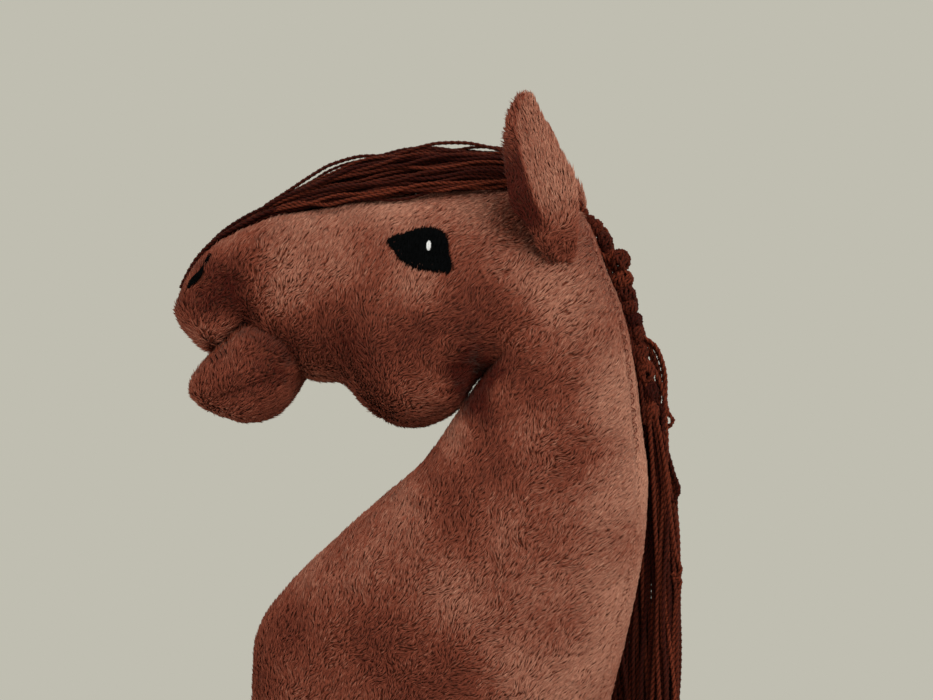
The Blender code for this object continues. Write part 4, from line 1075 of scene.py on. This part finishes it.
def makeNeckBase():
    draw = np.random.default_rng(71)
    low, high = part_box("stick_sleeve")
    hole = (high.x - low.x) / 2 + neckHem["gap"]
    columns, rows = 72, 18
    around = np.linspace(0, 2 * math.pi, columns + 1)[:-1]
    outer = formPoint(body, np.zeros(columns), around, -stuffing["pile"])
    turned = np.arctan2(outer[:, 1], outer[:, 0])
    inner = np.stack([hole * np.cos(turned), hole * np.sin(turned), np.full(columns, neckBase)], 1)
    rings = []
    for share in np.linspace(0, 1, rows):
        ring = outer * (1 - share) + inner * share
        puff = math.sin(math.pi * min(1, share * 1.02)) ** 0.8
        ring[:, 2] = neckBase + 1.9 * mm - 1.5 * mm * puff + 0.5 * mm * ripple(ring, 14 * mm, 9)
        rings.append(ring)
    lower = np.concatenate(rings)
    upper = lower + [0, 0, cloth["thickness"]]
    under = gridTriangles(rows, columns, closed=True)
    over = under[:, ::-1] + len(lower)
    edges = []
    for i in range(columns):
        for first in (0, (rows - 1) * columns):
            a, b = first + i, first + (i + 1) % columns
            edges += [(a, b, b + len(lower)), (a, b + len(lower), a + len(lower))]
    triangles = np.concatenate([under, over, edges])
    bottom = meshFrom("neck_base_plush", np.concatenate([lower, upper]), triangles, knitBacking)
    facesOut(bottom)
    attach(bottom, "head")
    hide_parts("neck_base_panel")
    if facing(lower, under)[:, 2].sum() > 0:
        under = under[:, ::-1]

    def comb(places, normals):
        # combed outwards from the stick
        ways = unit(flatOn(normals, unit(places * [1.0, 1.0, 0.0])))
        ways = swung(ways, normals, ripple(places, 12 * mm, 10) * 0.5)
        return ways, np.full(len(places), 0.2), np.full(len(places), -0.05), np.ones(len(places))

    growPile("neck_base", lower, under, draw, baseCoat, comb=comb)

    edge, level = hole + neckHem["out"], neckBase + neckHem["up"]
    turn = np.linspace(0, 2 * math.pi, 97)
    roll = np.stack([edge * np.cos(turn), edge * np.sin(turn), np.full(97, level)], 1)
    hem = tubes("neck_base_hem", [roll], [neckHem["radius"]], cottonTape, draw, 1, 10, 9 * mm, [0.6])
    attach(hem, "head")
    whips = []
    outwards, down = neckHem["reach"]
    t = np.linspace(-0.4, math.pi + 0.4, 9)
    for at in np.linspace(0, 2 * math.pi, neckHem["whips"] + 1)[:-1]:
        skew = at + 0.05 * (t - 1.5)        # a whip slants a little
        out = edge + outwards * np.cos(t)
        whips.append(np.stack([out * np.cos(skew), out * np.sin(skew), level - down * np.sin(t)], 1))
    threadPiece("neck_base_whipping", whips, neckHem["thread"], rustThread, draw, plies=2)
    print("neck base closed")


def finishSleeve():
    sleeve = frame["nodes"]["stick_sleeve"]
    sleeve.data.materials.clear()
    sleeve.data.materials.append(cottonTape)


# the pile itself, grown on the outer face of each panel


def panelFace(form, stations, angles):
    rows = int((stations[1] - stations[0]) * cloth["pileRows"]) + 1
    columns = int((angles[1] - angles[0]) * cloth["pileColumns"]) + 2
    s = np.linspace(stations[0], stations[1] - (0.03 if stations[1] > form["last"] else 0), rows)
    a = np.linspace(angles[0], angles[1], columns)
    points = formPoint(form, s[:, None], a[None, :], -stuffing["pile"]).reshape(-1, 3)
    triangles = gridTriangles(rows, columns)
    lowX, lowZ, highX, highZ, half = section(form, np.repeat(s, columns))
    out = points - np.stack([(lowX + highX) / 2, half * 0, (lowZ + highZ) / 2], 1)
    if (facing(points, triangles) * out[triangles[:, 0]]).sum() < 0:
        triangles = triangles[:, ::-1]
    return points, triangles


def growBody():
    draw = np.random.default_rng(20)
    offLip, offBody = outside(lipTree, 2.5 * mm), outside(bodyTree, 2.5 * mm)
    for name, (form, stations, angles, _) in panels.items():
        points, triangles = panelFace(form, stations, angles)
        apart = offLip if form is body else offBody
        coat, material, slotName = plush, chestnutPile, "chestnut_plush"
        if "mouth" in name:
            coat, material, slotName = mouthCoat, mouthPile, "mouth_plush"
        elif name == "crest_plush":
            coat = crestCoat
        growPile(name.replace("_plush", ""), points, triangles, draw, coat, material,
                 lambda places, normals: apart(places, normals) & offEmbroidery(places, normals))


# thread and yarn: plied strands laid along lines

def tubes(name, lines, radii, material, draw, plies, sides, pitch, tones=None):
    # u of the map goes from the groove between the plies, painted shade, to their crown, painted light; v is
    # the strand's own tone
    points, faces, uvs, first = [], [], [], 0
    tones = tones if tones is not None else draw.uniform(0.1, 0.97, len(lines)) ** 1.4
    share, width = (0.34, 0.72) if plies > 1 else (0.0, 1.0)        # of a ply: offset and radius
    for number, line in enumerate(lines):
        line = np.asarray(line, float)
        count = len(line)
        radius = np.broadcast_to(np.asarray(radii[number], float), (count,))
        tangent = unit(np.gradient(line, axis=0))
        normal = np.zeros_like(line)
        seed = np.array([0.0, 1.0, 0.0]) if abs(tangent[0][1]) < 0.9 else np.array([1.0, 0.0, 0.0])
        normal[0] = unit(seed - tangent[0] * seed.dot(tangent[0]))
        for i in range(1, count):
            step = normal[i - 1] - tangent[i] * normal[i - 1].dot(tangent[i])
            normal[i] = step / max(np.linalg.norm(step), 1e-9)
        other = np.cross(tangent, normal)
        gone = np.concatenate([[0], np.cumsum(np.linalg.norm(np.diff(line, axis=0), axis=1))])
        start = draw.uniform(0, 2 * math.pi)
        for ply in range(plies):
            turn = start + 2 * math.pi * gone / pitch + ply * 2 * math.pi / plies
            out = normal * np.cos(turn)[:, None] + other * np.sin(turn)[:, None]
            centre = line + out * (radius * share)[:, None]
            for corner in np.arange(sides) * 2 * math.pi / sides:
                a = turn + corner
                out = normal * np.cos(a)[:, None] + other * np.sin(a)[:, None]
                points.append(centre + out * (radius * width)[:, None])
                # where a ply faces out it takes the painted light, where it turns into the groove the
                # painted shade
                crown = 0.5 + 0.48 * math.cos(corner) if plies > 1 else 0.75
                tone = tones[number] + 0.004 * np.sin(gone * 900 + corner)
                uvs.append(np.stack([np.full(count, crown), tone], 1))
            base = first + np.arange(count)
            for corner in range(sides):
                a = base + corner * count
                b = base + ((corner + 1) % sides) * count
                faces.append(np.stack([a[:-1], b[:-1], b[1:]], 1))
                faces.append(np.stack([a[:-1], b[1:], a[1:]], 1))
            for end, order in ((0, 1), (count - 1, -1)):
                cap = [first + end + corner * count for corner in range(sides)][::order]
                faces.append(np.array([(cap[0], cap[i + 1], cap[i]) for i in range(1, sides - 1)]))
            first += sides * count
    uv = np.clip(np.concatenate(uvs), 0.01, 0.99)
    return meshFrom(name, np.concatenate(points), np.concatenate(faces), material, uv)


def threadMaterial(name, groove, crown, light, roughness, specular=0.25, sheen=0.0):
    # painted shade in the groove between the plies, painted light on their crowns, and every strand its own
    # tone
    material, tree, shader = newMaterial(name, roughness, specular, sheen, "#ffc9a8")
    place = addNode(tree, "UVMap", {"uv_map": "OFBake"})
    parts = addNode(tree, "SeparateXYZ", None, {0: place.outputs[0]})
    top = addNode(tree, "Mix", colourMix, {0: parts.outputs[1], 6: linear(crown), 7: linear(light)})
    whole = addNode(tree, "Mix", colourMix, {0: parts.outputs[0], 6: linear(groove), 7: top.outputs[2]})
    tree.links.new(whole.outputs[2], shader.inputs["Base Color"])
    return material


# matt wool-like yarn whose grooves are painted nearly black, a painted shade
russetYarn = threadMaterial(
    "twisted acrylic yarn, dark russet", "#0e0201", "#360c06", "#7a3520", 0.85, 0.08, 0.03)
# threads: a dull black that keeps the eye deep, a clean white for its glint, and one close to the plush
blackThread = threadMaterial("black rayon embroidery thread", "#000000", "#020303", "#070809", 0.85, 0.04)
whiteThread = threadMaterial("white rayon embroidery thread", "#a9a9a4", "#dededa", "#efefec", 0.5, 0.35)
rustThread = threadMaterial("rust sewing thread", "#4a1d12", "#74382a", "#8c4c38", 0.7, 0.15)

yarn = {
    "radius": 1.7 * mm,
    "pitch": 9.0 * mm,     # in which a ply goes round once
    "step": 1.7 * mm,      # between the rings of a strand
    "sides": 5,
    "cutEnd": 0.72,
}


def strands(name, lines, node, draw, tones=None, thickness=1.0):
    cut, radii = [], []
    for line in lines:
        line = np.asarray(line, float)
        length = np.linalg.norm(np.diff(line, axis=0), axis=1).sum()
        cut.append(along(line, max(4, int(length / yarn["step"]))))
        taper = np.ones(len(cut[-1]))
        taper[-1] = yarn["cutEnd"]
        radii.append(yarn["radius"] * draw.uniform(0.9, 1.08) * thickness * taper)
    piece = tubes(name, cut, radii, russetYarn, draw, 2, yarn["sides"], yarn["pitch"], tones)
    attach(piece, "head")
    if node:
        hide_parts(node)


# forelock: sewn in between the ears, it lies over the forehead and slips to the far side of the nose

forelock = {
    # station, mm: how thick the whole lies there
    "reach": [(14.15, 0.3), (14.6, 2.0), (15, 4.0), (16, 6.2), (17, 7.4), (18, 7.7), (19, 7.5), (20, 7.0),
              (21, 5.9), (22, 4.1), (23, 2.7), (24, 1.9), (25, 1.5), (26, 1.3), (27, 1.1), (28.2, 1.0)],
    "height": 3.72, "width": 3.55,         # of the whole forelock, times the reach
    "lift": 1.6 * mm,
    # where each part lies in the whole: sideways and up, -1 to 1
    "parts": {"left": (-0.72, 0.25), "middle": (0.0, 0.2), "right": (0.72, 0.25),
              "top_left": (-0.36, 0.72), "top_right": (0.36, 0.72)},
    "spread": (0.34, 0.30),
    "strands": 19,
    "thickness": 0.84,                     # packed tighter than the mane
    "ends": (22.6, 26.2), "longEnds": (26.0, 27.6),        # stations; two strands of a part are long
    "slipFrom": 19.5, "slipOver": 5.0,     # stations
    "slip": (8, 34),                       # mm to the far side, down at the nose
    # strands that stand off the rest: first and last station, height, mm to the side
    "arched": [(15.2, 19.8, 1.13, -6), (16.6, 21.0, 1.10, 4), (18.6, 23.0, 1.22, -3)],
    # loose ones that lie on the nose: first and last station, mm to the side
    "lying": [(17.0, 27.65, -4.5), (16.5, 27.5, -2.0), (18.0, 26.8, 2.0), (19.5, 24.9, -6.5)],
}


def forelockTones(number, draw):
    return 0.04 + 0.8 * draw.uniform(0, 1, number) ** 2.4        # most are dark, a few catch the light


def yarnOnFace(stations, sideways, lifts):
    half = section(body, stations)[-1]
    share = np.clip(sideways / (half + lifts), -0.98, 0.98)
    angle = np.arcsin(np.sign(share) * np.abs(share) ** (stuffing["roundness"] / 2))
    return formPoint(body, stations, angle, lifts)


def onTopOfPile(line, share):
    # lifts a line's points straight off the cloth until they lie on the pile
    raised = []
    for place, part in zip(line, share):
        near, normal, _, _ = bodyTree.find_nearest(Vector(place))
        away = -np.array(normal)
        if normal.dot(Vector(place) - near) > 0:
            away = unit((place - np.array(near)) + 1e-9)
        level = np.array(near) + away * (stuffing["pile"] + yarn["radius"] + 0.6 * mm)
        raised.append(place + (level - place) * part)
    return np.array(raised)


def makeForelock():
    draw = np.random.default_rng(31)
    where, reach = np.array(forelock["reach"]).T
    for name, (sideways, stacked) in forelock["parts"].items():
        lines = []
        for strand in range(forelock["strands"]):
            a = sideways + draw.uniform(-1, 1) * forelock["spread"][0]
            b = stacked + draw.uniform(-1, 1) * forelock["spread"][1]
            b = np.clip(b, 0.03, math.sqrt(max(0.05, 1.02 - a * a)))        # inside the rounded top
            last = draw.uniform(*forelock["ends"] if strand > 1 else forelock["longEnds"])
            s = np.linspace(where[0], last, 22)
            size = np.interp(s, where, reach) * mm
            wave = draw.uniform(0, 2 * math.pi, 4)
            away = a + 0.10 * np.sin(s * 1.1 + wave[0]) + 0.05 * np.sin(s * 2.7 + wave[1])
            high = b + 0.06 * np.sin(s * 1.3 + wave[2]) + 0.03 * np.sin(s * 3.1 + wave[3])
            lift = forelock["lift"] + np.clip(high, 0.0, 1.1) * size * forelock["height"]
            slip = np.clip((s - forelock["slipFrom"]) / forelock["slipOver"], 0, 1) ** 1.5
            slip *= draw.uniform(*forelock["slip"]) * mm * (0.1 if strand == 0 else 1)
            lines.append(yarnOnFace(s, away * size * forelock["width"] + slip, lift))
        strands("forelock_" + name, lines, "forelock_lock_" + name, draw, forelockTones(len(lines), draw),
                forelock["thickness"])
    loose = []
    for first, last, over, y in forelock["arched"]:
        s = np.linspace(first, last, 16)
        size = np.interp(s, where, reach) * mm
        bump = 0.86 + (over - 0.86) * np.sin(np.clip((s - first) / (last - first), 0, 1) * math.pi) ** 1.5
        lift = forelock["lift"] + bump * size * forelock["height"]
        loose.append(yarnOnFace(s, np.full(16, y * mm), lift))
    for first, last, y in forelock["lying"]:
        s = np.linspace(first, last, 24)
        size = np.interp(s, where, reach) * mm
        lift = forelock["lift"] + 0.9 * size + 0.4 * mm * np.sin(s * 2)
        line = yarnOnFace(s, y * mm + 1.2 * mm * np.sin(s), lift)
        loose.append(onTopOfPile(line, np.clip(s - mouth, 0, 1)))
    strands("forelock_loose", loose, None, draw, forelockTones(len(loose), draw))
    print("forelock laid")


# mane: knots of yarn along the crest, then long strands that arch out and hang

mane = {
    # knobs of wound yarn in each curl, side view mm: x, z over the neck's base, half length along x and z
    "knobs": {
        1: [(94.4, 409.4, 3.0, 3.8), (98.2, 404.6, 4.0, 4.4), (102.4, 399.4, 5.2, 6.6),
            (107.6, 390.0, 6.4, 7.2), (110.0, 382.6, 5.0, 5.0), (113.4, 379.0, 6.0, 6.0),
            (118.0, 376.6, 8.6, 8.6)],
        2: [(119.4, 363.5, 8.8, 8.0), (122.4, 353.5, 7.8, 7.2)],
        3: [(125.0, 344.5, 6.6, 6.8), (128.0, 335.0, 6.6, 7.4)],
        4: [(131.0, 325.0, 5.8, 7.8), (133.0, 313.0, 5.6, 8.4)],
        5: [(136.8, 300.0, 6.6, 8.6), (139.6, 286.0, 6.8, 8.8), (140.0, 272.0, 6.2, 8.4)],
    },
    # station, degrees round from the crest, x mm where it hangs, z mm of its end
    "locks": [(13.3, 18, 84, 22), (12.4, 18, 99, 4), (11.4, 18, 114, -6), (10.6, 18, 129, 2),
              (9.9, 18, 143, 12), (9.0, 5, 150, -8)],
    "strands": 26,             # in a lock
    "gather": 9.6 * mm,        # radius of a lock
    "caught": (0.22, 4.5, 5.5 * mm),       # stations above its place, degrees round, height over the pile
    "off": 8.3 * mm,           # height of its place over the pile
    "drop": 18 * mm,           # from point to point of its path
    "settle": 0.38,            # share of the way to its hanging line that it goes in a drop
    "clear": 8.0 * mm,         # of the pile
    # strands that arch out of the rest, side view mm
    "arches": [
        [(127, 328), (136, 322.5), (142, 317), (146.5, 308), (148.5, 298), (149, 288), (148.5, 277),
         (148, 250), (150, 200), (152, 130), (150, 60)],
        [(127, 326), (136, 320.5), (141, 314.5), (144.5, 306), (146.3, 298), (146.6, 288), (146, 277),
         (147, 250), (150, 215), (155, 160), (152, 100)],
        [(128, 323), (134, 318), (139, 312), (142, 304), (143.6, 297), (144, 288), (143.5, 277), (145, 250),
         (146, 220), (149, 150), (150, 90)],
        [(128, 329), (136, 324), (143, 318.5), (147.5, 309), (149.8, 299), (150.2, 288), (150, 277),
         (151, 255), (147, 180), (148, 110)],
        [(130, 318), (135, 312), (139, 304), (141, 294), (141, 284), (143, 262), (148, 256), (149, 225),
         (152, 170)],
        [(130, 314), (134, 306), (137, 296), (138, 284), (139, 262), (143, 230), (146, 190)],
        [(133, 310), (141, 302), (146, 292), (149, 281), (152, 270), (154.5, 266.5), (152, 262), (148, 266),
         (147, 256), (149, 225), (152, 170)],
        [(135, 300), (142, 288), (147, 270), (150, 252), (156, 230), (159.5, 217), (156, 211), (151, 218),
         (149, 205), (153, 160), (154, 100)],
        [(134, 305), (140, 294), (145, 280), (147, 262), (149, 238), (153, 216), (155, 204), (150, 203),
         (149, 190), (153, 140)],
        [(136, 292), (143, 270), (149, 240), (153, 205), (157, 175), (160, 161), (156.5, 156), (155.5, 161),
         (158.5, 159), (157, 140), (155, 95)],
        [(137, 284), (142, 262), (146, 235), (149, 200), (151, 150), (150, 80), (146, 30)],
        [(138, 276), (142, 255), (144, 225), (147, 180), (148, 120), (144, 50)],
        [(139, 268), (141, 240), (143, 200), (145, 150), (143, 100), (138, 30)],
        [(140, 262), (144, 235), (147, 200), (146, 150), (144, 90), (135, 20)],
    ],
}


def woundBall(x, z, wide, high, draw):
    # yarn wound over itself into a knob, each turn on a slightly turned circle
    size = np.array([wide, min(wide, high) + 0.6, high]) * mm - 0.8 * yarn["radius"]
    size = np.maximum(size, 1.2 * mm)
    turns = 3.2 + 2.0 * max(wide, high) / (yarn["radius"] / mm) / 2
    t = np.linspace(0, 2 * math.pi * turns, int(turns * 16))
    drift = t / turns * 0.5 * draw.uniform(0.85, 1.15) + draw.uniform(0, 6)
    nod = 0.5 * np.sin(t * 0.31 + draw.uniform(0, 6))
    across = np.stack([np.cos(drift), np.sin(drift), 0 * t], 1)
    upward = np.stack([-np.sin(drift) * np.sin(nod), np.cos(drift) * np.sin(nod), np.cos(nod)], 1)
    ball = across * np.cos(t)[:, None] + upward * np.sin(t)[:, None]
    ball *= (0.93 + 0.09 * np.sin(t * 0.83 + draw.uniform(0, 6)))[:, None]
    return np.array([x * mm, draw.uniform(-1, 1) * mm, neckBase + z * mm]) + ball * size


def makeManeKnots():
    draw = np.random.default_rng(41)
    for number, knobs in mane["knobs"].items():
        lines = [woundBall(*knob, draw) for knob in knobs]
        # the yarn that runs on from knob to knob, close to the crest
        reach = [(knobs[0][0], knobs[0][1] + knobs[0][3], knobs[0][2])] + [knob[:3] for knob in knobs]
        reach += [(knobs[-1][0] + 1.0, knobs[-1][1] - knobs[-1][3], knobs[-1][2])]
        for share, y in ((0.85, -2.6), (0.85, 0.4), (0.8, 3.2), (0.45, -1.2), (0.4, 2.0)):
            wave = draw.normal(0, 0.5, len(reach))
            lines.append(np.array([((x - share * wide + off) * mm, (y + off) * mm, neckBase + z * mm)
                                   for (x, z, wide), off in zip(reach, wave)]))
        strands(f"mane_knots_{number}", lines, f"mane_curl_{number}", draw)
    lines = []
    for run in mane["arches"]:
        shift = draw.uniform(-1, 1, 2) * 0.6
        depth = np.linspace(draw.uniform(-5, 5), draw.uniform(-2, 12), len(run))
        lines.append(np.array([((x + shift[0]) * mm, y * mm, neckBase + (z + shift[1]) * mm)
                               for (x, z), y in zip(run, depth)]))
    strands("mane_arching", lines, None, draw)
    print("mane knots wound")


def lockPath(station, angle, column, end):
    place = formPoint(body, [station], [math.radians(angle)], mane["off"])[0]
    # the yarn is caught in beside the curls, on the crest
    up, around, height = mane["caught"]
    crest = formPoint(body, [station + up], [math.radians(around)], height)[0]
    points = [crest, place.copy()]
    drop, bottom = mane["drop"], neckBase + end * mm
    while place[2] - drop > bottom - drop / 2:
        place = place.copy()
        place[2] -= drop
        place[0] += (column * mm - place[0]) * mane["settle"]
        wall = onCloth(place[0], place[2], 1, 0.0)
        if wall is not None:
            place[1] = max(place[1], wall[1] + stuffing["pile"] + mane["clear"])
        points.append(place)
    return np.array(points)


def makeManeLocks():
    draw = np.random.default_rng(43)
    for number, (station, angle, column, end) in enumerate(mane["locks"], 1):
        centre = lockPath(station, angle, column, end)
        lines = []
        for _ in range(mane["strands"]):
            turn, out = draw.uniform(0, 2 * math.pi), math.sqrt(draw.uniform(0, 1)) * mane["gather"]
            step = np.arange(len(centre)) - 1
            grow = np.clip(step / 2.5, 0.25, 1.0)
            t = step * 0.35 + draw.uniform(0, 6, 3)[:, None]
            offset = np.stack([
                (math.cos(turn) + 0.25 * np.sin(t[0])) * out * grow,
                (math.sin(turn) + 0.25 * np.sin(t[1])) * out * grow,
                draw.normal(0, 1.5 * mm) * np.ones(len(centre))], 1)
            sway = np.sin(step * draw.uniform(0.5, 1.1) + draw.uniform(0, 6)) * draw.uniform(0.4, 2.6) * mm
            offset[:, 0] += sway * grow
            line = centre + offset
            short = int(draw.integers(0, 3))
            line = line[:len(line) - short] if short else line
            line[-1, 2] -= draw.uniform(-4, 4) * mm
            lines.append(line)
        strands(f"mane_hanging_{number}", lines, f"mane_lock_{number}", draw)
    print("mane hung")


growBody()
embroider()
handSew()
makeEar("left")
makeEar("right")
makeForelock()
makeManeKnots()
makeManeLocks()
makeStick()
finishSleeve()
makeNeckBase()

print("done")
